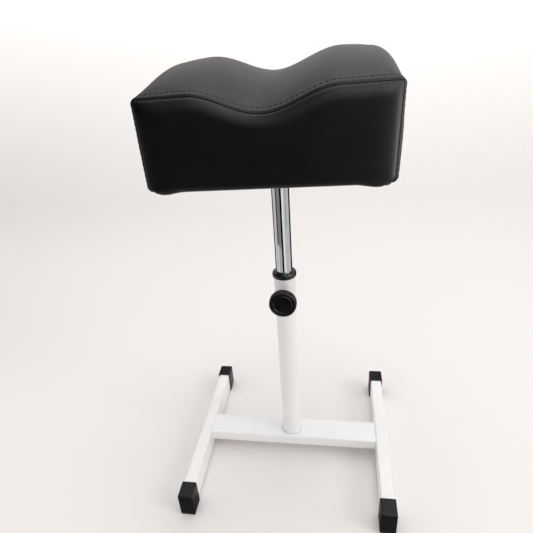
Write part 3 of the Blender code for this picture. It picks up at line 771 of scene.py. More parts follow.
@dataclass
class Clamp:
    """The clamp: welded boss, threaded stud, pressure pad and the fluted knob with its disc."""

    shop: Workshop
    boss_radius: float = 0.0085
    boss_bore: float = 0.0043
    boss_bead: float = 0.0014
    boss_edge: float = 0.0006
    boss_drawn: float = 1.5
    boss_steps: int = 64
    column_radius: float = 0.0162
    stud_radius: float = 0.0040
    stud_root: float = 0.0034
    stud_steps: int = 24
    stud_gap: float = 0.0003
    flank_shares: Place = (0.12, 0.50, 0.62)
    pitch: float = 0.00125
    same_spot: float = 0.000005
    knob_radius: float = 0.0205
    knob_edge: float = 0.0017
    knob_wall: float = 0.0031
    flutes: int = 40
    flute_depth: float = 0.0007
    flute_power: float = 0.7
    flute_fade: float = 1.2
    flute_steps: int = 6
    hub_radius: float = 0.0100
    hub_edge: float = 0.0005
    hub_length: float = 0.0030
    recess: float = 0.0022
    recess_edge: float = 0.0004
    disc_gap: float = 0.0003
    disc_edge: float = 0.0002
    disc_ring: float = 0.0020
    disc_land: float = 0.0020
    disc_dome: tuple[Point, ...] = ((0.8, 0.00002), (0.6, 0.00006), (0.3, 0.00011), (0.0, 0.00013))
    disc_steps: int = 96

    @staticmethod
    def axis() -> Matrix:
        """Returns the place of the clamp's axis: local +Z runs out of the column's front."""
        low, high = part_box("knob_body")
        return Matrix.Translation((0.0, 0.0, (low.z + high.z) / 2)) @ Matrix.Rotation(math.pi / 2, 4, "X")

    @staticmethod
    def reach(node: str) -> Point:
        """Returns how far from the column's axis a node of the clamp starts and ends."""
        low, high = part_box(node)
        return -high.y, -low.y

    def boss(self) -> None:
        """Builds the threaded sleeve with its bead, drawn onto the column's round."""
        start, end = self.column_radius, self.reach("clamp_boss")[1]
        radius, bead, edge = self.boss_radius, self.boss_bead, self.boss_edge
        profile = [(self.boss_bore, start), (radius + bead, start),
                   *arc((radius + bead, start + 2 * bead), bead, -90.0, -180.0, 4),
                   (radius, end - edge), (radius - edge, end), (self.boss_bore, end)]
        bm = turned(profile, self.boss_steps)
        for vert in bm.verts:
            if vert.co.z < start + self.boss_drawn * bead:
                vert.co.z -= self.column_radius - math.sqrt(self.column_radius ** 2 - vert.co.x ** 2)
        bm.transform(self.axis())
        self.shop.piece("clamp_boss_coated", bm, POWDER_COAT, Body.BASE, ["clamp_boss"])

    def stud(self) -> None:
        """Builds the stud with its helical thread: root, rising flank, crest and falling flank."""
        start, end = self.reach("clamp_stud")
        turns = math.ceil((end - start) / self.pitch) + 2
        rise, crest, fall = self.flank_shares
        flank = [(self.stud_root, 0.0), (self.stud_root, rise), (self.stud_radius, crest),
                 (self.stud_radius, fall), (self.stud_root, 1.0)]
        bm = bmesh.new()
        points, edges = wire(bm, [(radius, 0.0, start + self.pitch * (share - 1.0))
                                  for radius, share in flank])
        bmesh.ops.spin(bm, geom=points + edges, cent=(0.0, 0.0, 0.0), axis=(0.0, 0.0, 1.0),
                       dvec=(0.0, 0.0, self.pitch / self.stud_steps), angle=math.tau * turns,
                       steps=self.stud_steps * turns)
        bmesh.ops.remove_doubles(bm, verts=bm.verts, dist=self.same_spot)
        for place, sign in ((start, -1.0), (end, 1.0)):
            cut(bm, (0.0, 0.0, place), (0.0, 0.0, sign), clear_outer=True)
            rim = [edge for edge in bm.edges if edge.is_boundary
                   and all(abs(vert.co.z - place) < self.same_spot for vert in edge.verts)]
            bmesh.ops.edgeloop_fill(bm, edges=rim)
        bm.transform(self.axis())
        self.shop.piece("clamp_stud_threaded", bm, ZINC, Body.KNOB, ["clamp_stud"])

    def fluted(self, bm: BMesh, front: float) -> None:
        """Draws the flutes into the knob's outer wall.

        Args:
            bm: the knob, on its axis.
            front: the height of its face.
        """
        for vert in bm.verts:
            out = Vector((vert.co.x, vert.co.y, 0.0))
            share = (out.length - self.knob_radius + self.knob_edge) / self.knob_edge
            if share > 0.0:
                angle = math.atan2(vert.co.y, vert.co.x) * self.flutes
                groove = (0.5 - 0.5 * math.cos(angle)) ** self.flute_power
                fade = min(1.0, (front - vert.co.z) / (self.flute_fade * self.knob_edge))
                vert.co -= out.normalized() * self.flute_depth * groove * min(1.0, share) * fade

    def knob(self) -> None:
        """Builds the knob: hub, fluted wall and rimmed face."""
        start, front = self.reach("knob_body")
        back = start + self.hub_length
        radius, edge, lip = self.knob_radius, self.knob_edge, self.recess_edge
        inner = radius - self.knob_wall
        floor = front - self.recess
        wall = [(radius, height) for height in np.linspace(back + edge, front - edge, 4)[1:-1]]
        profile = [(self.boss_bore, self.reach("clamp_stud")[1] + self.stud_gap), (self.boss_bore, start),
                   (self.hub_radius - self.hub_edge, start), (self.hub_radius, start + self.hub_edge),
                   (self.hub_radius, back), *arc((radius - edge, back + edge), edge, -90.0, 0.0, 5), *wall,
                   *arc((radius - edge, front - edge), edge, 0.0, 90.0, 5), (inner + lip, front),
                   (inner, front - lip), (inner, floor), (self.boss_bore, floor)]
        bm = turned(profile, self.flutes * self.flute_steps)
        self.fluted(bm, front)
        bm.transform(self.axis())
        self.shop.piece("clamp_knob_moulded", bm, ABS_BLACK, Body.KNOB, ["knob_body"])

    def disc(self) -> None:
        """Builds the polished disc: a flat land, a raised ring and a slightly domed field."""
        back, front = self.reach("knob_disc")
        radius = self.knob_radius - self.knob_wall - self.disc_gap
        half = self.disc_ring / 2
        ring = radius - self.disc_land - half
        land = front - half
        profile = [(0.0, back), (radius, back), (radius, land - self.disc_edge),
                   (radius - self.disc_edge, land), *arc((ring, land), half, 0.0, 180.0, 14),
                   *((share * ring, land + rise) for share, rise in self.disc_dome)]
        bm = turned(profile, self.disc_steps, closed=False)
        bm.transform(self.axis())
        self.shop.piece("knob_disc_polished", bm, ABS_GLOSS, Body.KNOB, ["knob_disc"])

    def build(self) -> None:
        """Builds the clamp."""
        for make in (self.boss, self.stud, self.knob, self.disc):
            make()
        self.shop.dress("pressure_pad", ABS_BLACK)


@dataclass
class Post:
    """The chromed post with its glide, mounting plate and screws."""

    shop: Workshop
    radius: float = 0.0125
    wall: float = 0.0015
    rim: float = 0.0003
    steps: int = 128
    plate_thickness: float = 0.003
    plate_corner: float = 0.010
    plate_edge: float = 0.0005
    bead: float = 0.0020
    bead_steps: int = 88
    bead_gap: float = 0.0001
    bead_ripple: float = 0.00010
    bead_ripples: int = 22
    hole: float = 0.0023
    hole_depth: float = 0.01
    head_radius: float = 0.0042
    head_height: float = 0.0024
    shank_radius: float = 0.0020
    tip_radius: float = 0.0005
    driver: Place = (0.0046, 0.0010, 0.0028)
    screw_turn: float = 31.0

    def tube(self) -> None:
        """Builds the post, an open tube with eased ends."""
        low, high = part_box("post_tube")
        bore, eased = self.radius - self.wall, self.radius - self.rim
        profile = [(bore, low.z), (eased, low.z), (self.radius, low.z + self.rim),
                   (self.radius, high.z - self.rim), (eased, high.z), (bore, high.z)]
        self.shop.piece("post_chromed", turned(profile, self.steps), CHROME, Body.HEAD, ["post_tube"])

    def plate(self) -> None:
        """Builds the mounting plate with its screw holes, and the bead round the post."""
        low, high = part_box("mounting_plate")
        low.z = high.z - self.plate_thickness
        bm = block(low, high)
        soften(bm, along(bm, 2), self.plate_corner, 10)
        rims = [edge for face in facing(bm, 2, 1) + facing(bm, 2, -1) for edge in face.edges]
        soften(bm, rims, self.plate_edge, 3)
        holes = bmesh.new()
        for name in SCREWS:
            centre = sum(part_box(name), Vector()) / 2
            place = Matrix.Translation((centre.x, centre.y, (low.z + high.z) / 2))
            bmesh.ops.create_cone(holes, cap_ends=True, segments=32, radius1=self.hole, radius2=self.hole,
                                  depth=self.hole_depth, matrix=place)
        self.shop.piece("mounting_plate_coated", carved(bm, holes), POWDER_COAT, Body.HEAD,
                        ["mounting_plate"])
        foot = (self.radius + 2 * self.bead_gap, low.z - self.bead_gap)
        bead = turned([foot, *arc(foot, self.bead, 0.0, -90.0, 6)], self.bead_steps)
        rippled(bead, foot[0] + 3 * self.bead_gap, self.bead_ripple, self.bead_ripples)
        self.shop.piece("plate_weld_bead", bead, POWDER_COAT, Body.HEAD)

    def screw(self, name: str) -> None:
        """Builds one pan-head screw with its cross recess.

        Args:
            name: the screw's node.
        """
        low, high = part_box(name)
        seat, half, shank = low.z + self.head_height, self.head_height / 2, self.shank_radius
        profile = [(0.0, low.z), *arc((self.head_radius - half, low.z + half), half, -90.0, 0.0, 6),
                   (self.head_radius, seat), (shank, seat), (shank, high.z - shank),
                   (self.tip_radius, high.z), (0.0, high.z)]
        bm = turned(profile, 40, closed=False)
        for turn in (0.0, math.pi / 2):
            blade = bmesh.new()
            place = (Matrix.Translation((0.0, 0.0, low.z)) @ Matrix.Rotation(turn, 4, "Z")
                     @ Matrix.Diagonal((*self.driver, 1.0)))
            bmesh.ops.create_cube(blade, size=1.0, matrix=place)
            bm = carved(bm, blade)
        centre = (low + high) / 2
        bm.transform(Matrix.Translation((centre.x, centre.y, 0.0))
                     @ Matrix.Rotation(centre.x * self.screw_turn, 4, "Z"))
        self.shop.piece(name + "_zinc", bm, ZINC, Body.HEAD, [name])

    def build(self) -> None:
        """Builds the post and what holds the cushion to it."""
        self.tube()
        self.plate()
        for name in SCREWS:
            self.screw(name)
        self.shop.dress("post_glide", ABS_BLACK)


@dataclass(frozen=True)
class MeshCounts:
    """How many parts each stretch of the cover's outline has."""

    under: int = 4
    bend: int = 4
    side: int = 22
    shoulder: int = 8
    top: int = 72

    def finer(self, factor: int) -> "MeshCounts":
        """Returns the counts times a factor."""
        return MeshCounts(*(factor * count for count in vars(self).values()))


def hump(value: np.ndarray | float, centre: float, width: float) -> np.ndarray | float:
    """Returns a soft hump: 1 at its centre, falling away over its width."""
    return np.exp(-((value - centre) / width) ** 2)


@dataclass
class CoverForm:
    """The stuffed form of the cover between its front and back seams, as the solids have it."""

    seam_half_length: float = 0.1412
    bottom_half_length: float = 0.1398
    seam_height: float = 0.1023
    valley_depth: float = 0.0216
    valley_half_length: float = 0.0815
    crown: float = 0.0270
    end_crown: float = 0.58
    side_bulge: float = 0.0038
    side_swell: float = 0.6
    panel_bulge: float = 0.0070
    seam_corner: float = 0.0050
    crown_corner: float = 0.0315
    crown_power: float = 2.2
    end_power: float = 5.2
    side_power: float = 13.0
    corner_power: float = 3.0
    panel_roll_top: float = 0.015
    panel_roll_side: float = 0.024
    panel_roll_low: float = 0.007
    roll_depth: float = 0.0007
    roll_width: float = 0.0026
    crease_depth: float = 0.0015
    crease_width: float = 0.0006
    crease_power: float = 1.5
    bottom_corner: float = 0.0060
    leather: float = 0.0012
    gap: float = 0.0003
    fold_under: float = 0.022
    fold_fullness: float = 0.0014

    def __post_init__(self) -> None:
        """Takes the depth from the packed band, and the heights from the board that it is folded under."""
        low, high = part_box("cover_band")
        self.seam_depth = high.y - low.y
        self.band_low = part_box("base_board")[0].z - self.leather - self.gap
        self.panel_low = self.band_low - self.leather - self.gap - self.fold_fullness
        self.seam_z = self.panel_low + self.fold_fullness + self.seam_height

    @staticmethod
    def fullness(share: float, power: float) -> float:
        """Returns how far stuffing rises between two seams: 1 midway, 0 at either seam."""
        return 1.0 - min(1.0, abs(share)) ** power

    @staticmethod
    def rolled(share: np.ndarray | float) -> np.ndarray | float:
        """Returns the height of a round roll: 0 at its edge, 1 from a share of 1 on."""
        return np.sqrt(1.0 - (1.0 - np.clip(share, 0.0, 1.0)) ** 2)

    def seam_inset(self, offset: float) -> float:
        """Returns how far the cover is drawn in at a distance from its seam."""
        crease = self.crease_depth * math.exp(-(offset / self.crease_width) ** self.crease_power)
        return self.roll_depth * (1.0 - float(self.rolled(offset / self.roll_width))) + crease

    def top_height(self, across: float, depth_share: float) -> float:
        """Gives the top's height.

        Args:
            across: the distance from the middle.
            depth_share: -1 at the front seam and 1 at the back seam.

        Returns:
            The height.
        """
        wave = 0.0
        if abs(across) < self.valley_half_length:
            wave = self.valley_depth * math.cos(math.pi / 2 * across / self.valley_half_length) ** 2
        end_share = min(1.0, abs(across) / self.seam_half_length) ** self.end_power
        crown = self.crown * (1.0 - (1.0 - self.end_crown) * end_share)
        return self.seam_z - wave + crown * self.fullness(depth_share, self.crown_power)

    def side_reach(self, height: float, depth_share: float) -> float:
        """Gives the half length at a height; the sides draw in towards the bottom.

        Args:
            height: the height.
            depth_share: -1 at the front seam and 1 at the back seam.

        Returns:
            The half length.
        """
        rise = min(1.0, max(0.0, (height - self.panel_low) / self.seam_height))
        taper = self.bottom_half_length + (self.seam_half_length - self.bottom_half_length) * rise
        swell = self.side_swell + (1.0 - self.side_swell) * math.sin(math.pi * rise)
        return taper + self.side_bulge * swell * self.fullness(depth_share, self.side_power)

    def outline(self, depth_share: float, counts: MeshCounts, inset: float = 0.0) -> np.ndarray:
        """Gives the cover's outline at one depth.

        Args:
            depth_share: -1 at the front seam, 1 at the back seam.
            counts: the parts of each stretch.
            inset: how far inside the cover it runs.

        Returns:
            Points (across, height) from under the board's right edge over the top to its left edge.
        """
        corner = self.seam_corner
        corner += (self.crown_corner - self.seam_corner) * self.fullness(depth_share, self.corner_power)
        centre_across = self.side_reach(self.seam_z, depth_share) - corner
        centre_height = self.top_height(centre_across, depth_share) - corner
        low = self.band_low + inset
        bend_height = self.band_low + self.bottom_corner
        bend_across = self.side_reach(bend_height, depth_share) - self.bottom_corner
        fold = self.bottom_half_length - self.fold_under
        half = [(fold + (bend_across - fold) * step / counts.under, low) for step in range(counts.under)]
        half += arc((bend_across, bend_height), self.bottom_corner - inset, -90.0, 0.0, counts.bend)[:-1]
        for step in range(counts.side):
            height = bend_height + (centre_height - bend_height) * step / counts.side
            half.append((self.side_reach(height, depth_share) - inset, height))
        half += arc((centre_across, centre_height), corner - inset, 0.0, 90.0, counts.shoulder)
        top = []
        for step in range(1, counts.top):
            across = centre_across * (1.0 - 2.0 * step / counts.top)
            top.append((across, self.top_height(across, depth_share) - inset))
        return np.array(half + top + [(-across, height) for across, height in reversed(half)])

    def band_grid(self, shares: np.ndarray, counts: MeshCounts) -> np.ndarray:
        """Gives the band's points.

        Args:
            shares: the depth of each row, -1 at the front seam and 1 at the back seam.
            counts: the parts of each stretch of the outline.

        Returns:
            Points as [depth, along the outline, xyz].
        """
        rows = []
        for share in shares:
            outline = self.outline(share, counts, self.seam_inset((1.0 - abs(share)) * self.seam_depth / 2))
            along_depth = np.full(len(outline), share * self.seam_depth / 2)
            rows.append(np.column_stack((outline[:, 0], along_depth, outline[:, 1])))
        return np.array(rows)

    def panel_grid(self, panel: Facing, counts: MeshCounts, stand_off: float) -> np.ndarray:
        """Gives a panel's points, blended from its four edges.

        Args:
            panel: the front or the back one.
            counts: the parts of each stretch of the outline.
            stand_off: how far its seam stands outside the band's edge.

        Returns:
            Points as [row from the bottom up, column from right to left, xyz].
        """
        outline = self.outline(1.0, counts, self.seam_inset(0.0))[counts.under:-counts.under]
        side_count = counts.bend + counts.side + counts.shoulder // 2
        right = outline[:side_count + 1]
        left = outline[::-1][:side_count + 1]
        top = outline[side_count:len(outline) - side_count]
        u = ((top[0, 0] - top[:, 0]) / (top[0, 0] - top[-1, 0]))[None, :, None]
        v = ((right[:, 1] - right[0, 1]) / (right[-1, 1] - right[0, 1]))[:, None, None]
        low_edge = (1 - u) * right[0] + u * left[0]
        flat = (1 - v) * low_edge + v * top[None] + (1 - u) * right[:, None] + u * left[:, None]
        flat -= (1 - v) * low_edge + v * ((1 - u) * top[0] + u * top[-1])
        side, top_gap, low_gap = self.panel_edges(flat)
        swell = self.rolled(side / self.panel_roll_side) * self.rolled(top_gap / self.panel_roll_top)
        swell *= self.rolled(low_gap / self.panel_roll_low)
        out = self.seam_depth / 2 + stand_off + self.panel_bulge * swell
        return np.dstack((flat[:, :, 0], panel.value * out, flat[:, :, 1]))

    @staticmethod
    def panel_edges(flat: np.ndarray) -> tuple[np.ndarray, np.ndarray, np.ndarray]:
        """Measures how far a panel's points are from its edges.

        Args:
            flat: the points as [row, column, across to height].

        Returns:
            The distances from the side seams, the top seam and the lower edge.
        """
        across, height = flat[:, :, 0], flat[:, :, -1]
        side = np.minimum(across[:, :1] - across, across - across[:, -1:])
        slope = np.gradient(height[-1], across[-1])
        return side, (height[-1] - height) / np.sqrt(1.0 + slope ** 2), height - height[0]


def grid_mesh(points: np.ndarray) -> BMesh:
    """Lays a grid over points.

    Args:
        points: as [row, column, xyz].

    Returns:
        The open grid.
    """
    rows, columns = points.shape[:2]
    bm = bmesh.new()
    bmesh.ops.create_grid(bm, x_segments=columns - 1, y_segments=rows - 1, size=0.5)
    for vert in bm.verts:
        column = round((vert.co.x + 0.5) * (columns - 1))
        row = round((vert.co.y + 0.5) * (rows - 1))
        vert.co = Vector(points[row, column])
    return bm


def faced(points: np.ndarray, outwards: Place) -> BMesh:
    """Lays a grid over points with its faces outwards.

    Args:
        points: as [row, column, xyz].
        outwards: a direction on the outer side of the face in the middle.

    Returns:
        The open grid.
    """
    bm = grid_mesh(points)
    bm.normal_update()
    middle = Vector(points[points.shape[0] // 2, points.shape[1] // 2])
    face = min(bm.faces, key=lambda item: (item.calc_center_median() - middle).length_squared)
    if face.normal.dot(Vector(outwards)) < 0.0:
        bmesh.ops.reverse_faces(bm, faces=bm.faces)
    return bm


def filled(bm: BMesh) -> BMesh:
    """Closes a form's holes and returns it."""
    bmesh.ops.holes_fill(bm, edges=[edge for edge in bm.edges if edge.is_boundary], sides=0)
    return bm


def shell_of(grids: Iterable[np.ndarray]) -> BMesh:
    """Joins the cover's grids at their seams in one closed shell.

    Args:
        grids: each as [row, column, xyz].

    Returns:
        The shell, its faces outwards.
    """
    bm = bmesh.new()
    for points in grids:
        part = grid_mesh(points)
        mesh = bpy.data.meshes.new("joined")
        part.to_mesh(mesh)
        part.free()
        bm.from_mesh(mesh)
        bpy.data.meshes.remove(mesh)
    bmesh.ops.remove_doubles(bm, verts=bm.verts, dist=SEAM_MERGE)
    filled(bm)
    bmesh.ops.recalc_face_normals(bm, faces=bm.faces)
    return bm


def lookup_of(points: np.ndarray) -> KDTree:
    """Makes a lookup of the nearest of some points.

    Args:
        points: as [point, xyz].

    Returns:
        The lookup.
    """
    tree = KDTree(len(points))
    for index, point in enumerate(points):
        tree.insert(point, index)
    tree.balance()
    return tree


@dataclass
class Stuffing:
    """Fills the sewn shell: a cloth simulation under pressure, held at its seams and its folded edge."""

    form: CoverForm
    counts: MeshCounts
    rows: int = 60
    frames: int = 20
    cap: float = 0.0025
    panel_share: float = 0.45
    smoothings: int = 14
    at_seam_plane: float = 0.0001
    at_seam: float = 0.0002
    cloth: tuple[tuple[str, object], ...] = (
        ("quality", 5), ("mass", 0.3), ("tension_stiffness", 15.0), ("compression_stiffness", 15.0),
        ("shear_stiffness", 6.0), ("bending_stiffness", 2.0), ("use_pressure", True),
        ("uniform_pressure_force", 4.0), ("vertex_group_mass", "held"))

    def __post_init__(self) -> None:
        """Lays out the shell's grids."""
        under = self.counts.under
        shares = np.linspace(-1.0, 1.0, self.rows + 1)
        self.band = self.form.band_grid(shares, self.counts)[:, under:-under]
        self.panels = {panel: self.form.panel_grid(panel, self.counts, 0.0) for panel in Facing}

    def shell(self) -> Object:
        """Builds the closed shell, its seams and folded edge in a pin group.

        Returns:
            The shell's object.
        """
        shell = placed("stuffing_shell", shell_of((self.band, *self.panels.values())))
        seams = lookup_of(np.concatenate((self.band[0], self.band[-1])))
        seam, low = self.form.seam_depth / 2, self.form.band_low + self.form.bottom_corner
        held = [vert.index for vert in shell.data.vertices
                if vert.co.z < low or (abs(abs(vert.co.y) - seam) < self.at_seam_plane
                                       and seams.find(vert.co)[2] < self.at_seam)]
        shell.vertex_groups.new(name="held").add(held, 1.0, "REPLACE")
        return shell

    def blown_up(self, shell: Object, start: np.ndarray) -> np.ndarray:
        """Runs the cloth.

        Args:
            shell: the shell.
            start: its points before the run.

        Returns:
            How far each point moves, capped softly.
        """
        modifier = shell.modifiers.new("stuffing", "CLOTH")
        for key, value in self.cloth:
            setattr(modifier.settings, key, value)
        modifier.settings.effector_weights.gravity = 0.0
        modifier.collision_settings.use_collision = False
        modifier.collision_settings.use_self_collision = False
        modifier.point_cache.frame_start = 1
        modifier.point_cache.frame_end = self.frames
        scene = bpy.context.scene
        for number in range(1, self.frames + 1):
            scene.frame_set(number)
        full = shell.evaluated_get(bpy.context.evaluated_depsgraph_get())
        moved = np.array([vert.co for vert in full.data.vertices]) - start
        scene.frame_set(1)
        reach = np.linalg.norm(moved, axis=1, keepdims=True)
        LOG.info("stuffing: moved %.1f mm at most, %.1f mm on average", reach.max() / MM, reach.mean() / MM)
        return moved * self.cap * np.tanh(reach / self.cap) / np.maximum(reach, NO_LENGTH)

    def run(self) -> None:
        """Fills the shell and keeps how far each point of its grids moved."""
        shell = self.shell()
        start = np.array([vert.co for vert in shell.data.vertices])
        moved = self.blown_up(shell, start)
        tree = lookup_of(start)
        self.band_moved = self.smoothed(self.read(tree, self.band, moved))
        self.panel_moved = {panel: self.smoothed(self.panel_share * self.read(tree, points, moved))
                            for panel, points in self.panels.items()}
        removed(shell)

    def smoothed(self, field: np.ndarray) -> np.ndarray:
        """Takes the fine creases out of a grid's field.

        Args:
            field: as [row, column, xyz].

        Returns:
            The field, unchanged at its edges.
        """
        field = field.copy()
        for _ in range(self.smoothings):
            around = field[:-2, 1:-1] + field[2:, 1:-1] + field[1:-1, :-2] + field[1:-1, 2:]
            field[1:-1, 1:-1] = 0.5 * field[1:-1, 1:-1] + 0.125 * around
        return field

    @staticmethod
    def read(tree: KDTree, points: np.ndarray, moved: np.ndarray) -> np.ndarray:
        """Returns the movement at each point of a grid, from the nearest point of the shell."""
        found = [moved[tree.find(Vector(point))[1]] for point in points.reshape(-1, 3)]
        return np.array(found).reshape(points.shape)

    @staticmethod
    def cubic(values: np.ndarray, places: np.ndarray) -> np.ndarray:
        """Reads a field along its first axis by a smooth cubic through its points.

        Args:
            values: the field.
            places: where it is read, in its own numbers.

        Returns:
            The field at those places.
        """
        last = len(values) - 1
        base = np.clip(np.floor(places).astype(int), 0, last - 1)
        share = (places - base)[:, None, None]
        a, b, c, d = (values[np.clip(base + shift, 0, last)] for shift in (-1, 0, 1, 2))
        slope = 0.5 * (c - a)
        bend = a - 2.5 * b + 2.0 * c - 0.5 * d
        twist = 0.5 * (d - a) + 1.5 * (b - c)
        return b + share * (slope + share * (bend + share * twist))

    def refined(self, field: np.ndarray, rows: np.ndarray, columns: np.ndarray) -> np.ndarray:
        """Returns a grid's field at given rows and columns, which may lie between its own."""
        return self.cubic(self.cubic(field, rows).transpose(1, 0, 2), columns).transpose(1, 0, 2)


@dataclass
class Cushion:
    """The saddle cushion: foam on a board in a sewn cover, with its stitches and pleats."""

    shop: Workshop
    fine: int = 4
    side_bulge: float = 0.0032
    panel_bulge: float = 0.0067
    # How far the rows of the band's mesh lie from a seam; they are close where the sewing is.
    seam_spacing_mm: tuple[float, ...] = (0.0, 0.25, 0.6, 1.1, 1.8, 2.6, 3.4, 4.3, 5.1, 5.6, 6.0, 6.4, 7.0,
                                          7.9, 9.2, 11.2, 14.0, 18.0)
    body_spacing: float = 0.0060
    lip_height: float = 0.00040
    lip_place: float = 0.0028
    lip_width: float = 0.0016
    stitch_line: float = 0.0060
    stitch_pitch: float = 0.0063
    stitch_length: float = 0.0040
    stitch_width: float = 0.0012
    stitch_rise: float = 0.00020
    stitch_dent: float = 0.00120
    dent_width: float = 0.0006
    dent_slope: float = 1.5
    dent_share: float = 0.7
    pucker: float = 0.00022
    pucker_place: float = 0.0036
    pucker_width: float = 0.0021
    pucker_slant: float = 0.5
    pucker_phase: float = 1.9
    pucker_sharpness: float = 2.5
    corner_reach: float = 0.020
    corner_gather: float = 2.2
    slack_share: float = 0.6
    slack_place: float = 0.0065
    slack_width: float = 0.0035
    slack_waves: Point = (0.0041, 0.0173)
    slack_shift: float = 0.6
    panel_stand_off: float = 0.0002
    ripple_place: float = 0.0025
    ripple_width: float = 0.0034
    ripple_waves: Point = (0.0110, 0.0137)
    ripple_shift: float = 0.9
    ripple_corner: float = 0.030
    ripple_shares: Point = (0.10, 0.7)
    low_reach: float = 0.02
    low_rounding: float = 0.0028
    low_side: float = 0.012
    fold_start: float = 0.0015
    fold_length: float = 0.036
    fold_drop: float = 0.0034
    tuck_rows: int = 6
    tuck_taper: float = 0.10
    tuck_fall: float = 4.0
    fold_powers: Place = (0.7, 0.8, 1.4)
    foam_inset: float = 0.0032
    pleat_length: float = 0.038
    pleat_half_width: float = 0.0090
    pleat_drop: float = 0.0036
    pleat_inset: Place = (0.0050, 0.0115, 0.0012)
    pleat_turn: float = 0.16
    pleat_lean: float = 0.05
    wrinkle: float = 0.0005
    wrinkle_waves: Point = (18.0, 9.0)

    def __post_init__(self) -> None:
        """Sets out the form and the grid of the cover; the stuffing adds the rest of its bulge."""
        self.counts = MeshCounts()
        self.form = CoverForm(side_bulge=self.side_bulge,
                                                             panel_bulge=self.panel_bulge)
        self.stuffing = Stuffing(self.form, self.counts)
        near = np.array(self.seam_spacing_mm) * MM
        depth = self.form.seam_depth
        half = np.concatenate((near, np.arange(near[-1] + self.body_spacing, depth / 2, self.body_spacing)))
        self.offsets = np.concatenate((half, depth - half[::-1]))
        self.shares = 2.0 * self.offsets / depth - 1.0

    def sewn_height(self, offset: np.ndarray, run: np.ndarray, tight: np.ndarray) -> np.ndarray:
        """Gives how far sewing lifts or pulls the band off its form.

        Args:
            offset: the distance of each row from the seam.
            run: the length along the seam up to each column.
            tight: how strongly the cover is gathered at each column.

        Returns:
            The height as [row, column].
        """
        beat = math.tau * (run / self.stitch_pitch - 0.5)
        sunk = np.clip(np.cos(beat) * self.dent_slope + self.dent_share, 0.0, 1.0)
        lip = self.lip_height * hump(offset, self.lip_place, self.lip_width)
        dent = self.stitch_dent * hump(offset, self.stitch_line, self.dent_width)
        slant = math.tau * self.pucker_slant * (offset / self.stitch_line - 1.0)[:, None]
        pull = np.exp(self.pucker_sharpness * (np.cos(beat[None, :] + slant - self.pucker_phase) - 1.0))
        strip = hump(offset, self.pucker_place, self.pucker_width)
        height = lip[:, None] - dent[:, None] * sunk - self.pucker * strip[:, None] * pull * tight
        wide = self.slack_share * self.pucker * hump(offset, self.slack_place, self.slack_width)
        slow = np.sin(run / self.slack_waves[0]) * np.sin(run / self.slack_waves[1] + self.slack_shift)
        return height + wide[:, None] * slow[None, :]

    @staticmethod
    def along_seam(edge: np.ndarray) -> np.ndarray:
        """Returns the length along an edge, up to each of its points."""
        steps = np.linalg.norm(np.diff(edge, axis=0), axis=1)
        return np.concatenate(([0.0], np.cumsum(steps)))

    def band_points(self) -> tuple[np.ndarray, np.ndarray]:
        """Gives the band: form, stuffing, seams, stitch dents and puckers.

        Returns:
            Its points and the normals of its form, both as [row, column, xyz].
        """
        points = self.form.band_grid(self.shares, self.counts.finer(self.fine))
        under = self.counts.under * self.fine
        rows = (self.shares + 1.0) / 2.0 * self.stuffing.rows
        columns = np.arange((self.stuffing.band.shape[1] - 1) * self.fine + 1) / self.fine
        points[:, under:-under] += self.stuffing.refined(self.stuffing.band_moved, rows, columns)
        normals = np.cross(np.gradient(points, axis=0), np.gradient(points, axis=1))
        normals /= np.maximum(np.linalg.norm(normals, axis=2, keepdims=True), NO_LENGTH)
        from_seam = np.minimum(self.offsets, self.form.seam_depth - self.offsets)
        corner = hump(np.abs(points[0, :, 0]), self.form.seam_half_length, self.corner_reach)
        height = self.sewn_height(from_seam, self.along_seam(points[0]), 1.0 + self.corner_gather * corner)
        return points + normals * height[:, :, None], normals

    def panel_ripples(self, points: np.ndarray) -> np.ndarray:
        """Gives the small gathers beside a panel's seams, stronger at its corners.

        Args:
            points: the panel's points.

        Returns:
            How far each point stands out.
        """
        from_side, from_top, _ = self.form.panel_edges(points)
        run_side, run_top = points[:, :, 2], points[:, :, 0]
        beat = math.tau / self.stitch_pitch
        side_wave, top_wave = (0.5 + 0.5 * np.sin(run / wave)
                               for run, wave in zip((run_side, run_top), self.ripple_waves))
        slanted = run_top + self.pucker_slant * np.sign(run_top) * from_top
        ripples = np.where(from_side < from_top, np.sin(beat * run_side) * side_wave,
                           np.sin(beat * slanted + self.ripple_shift) * top_wave)
        fade = hump(np.minimum(from_side, from_top), self.ripple_place, self.ripple_width)
        corner = hump(np.hypot(from_side, from_top), 0.0, self.ripple_corner)
        return self.pucker * ripples * fade * (self.ripple_shares[0] + self.ripple_shares[1] * corner)

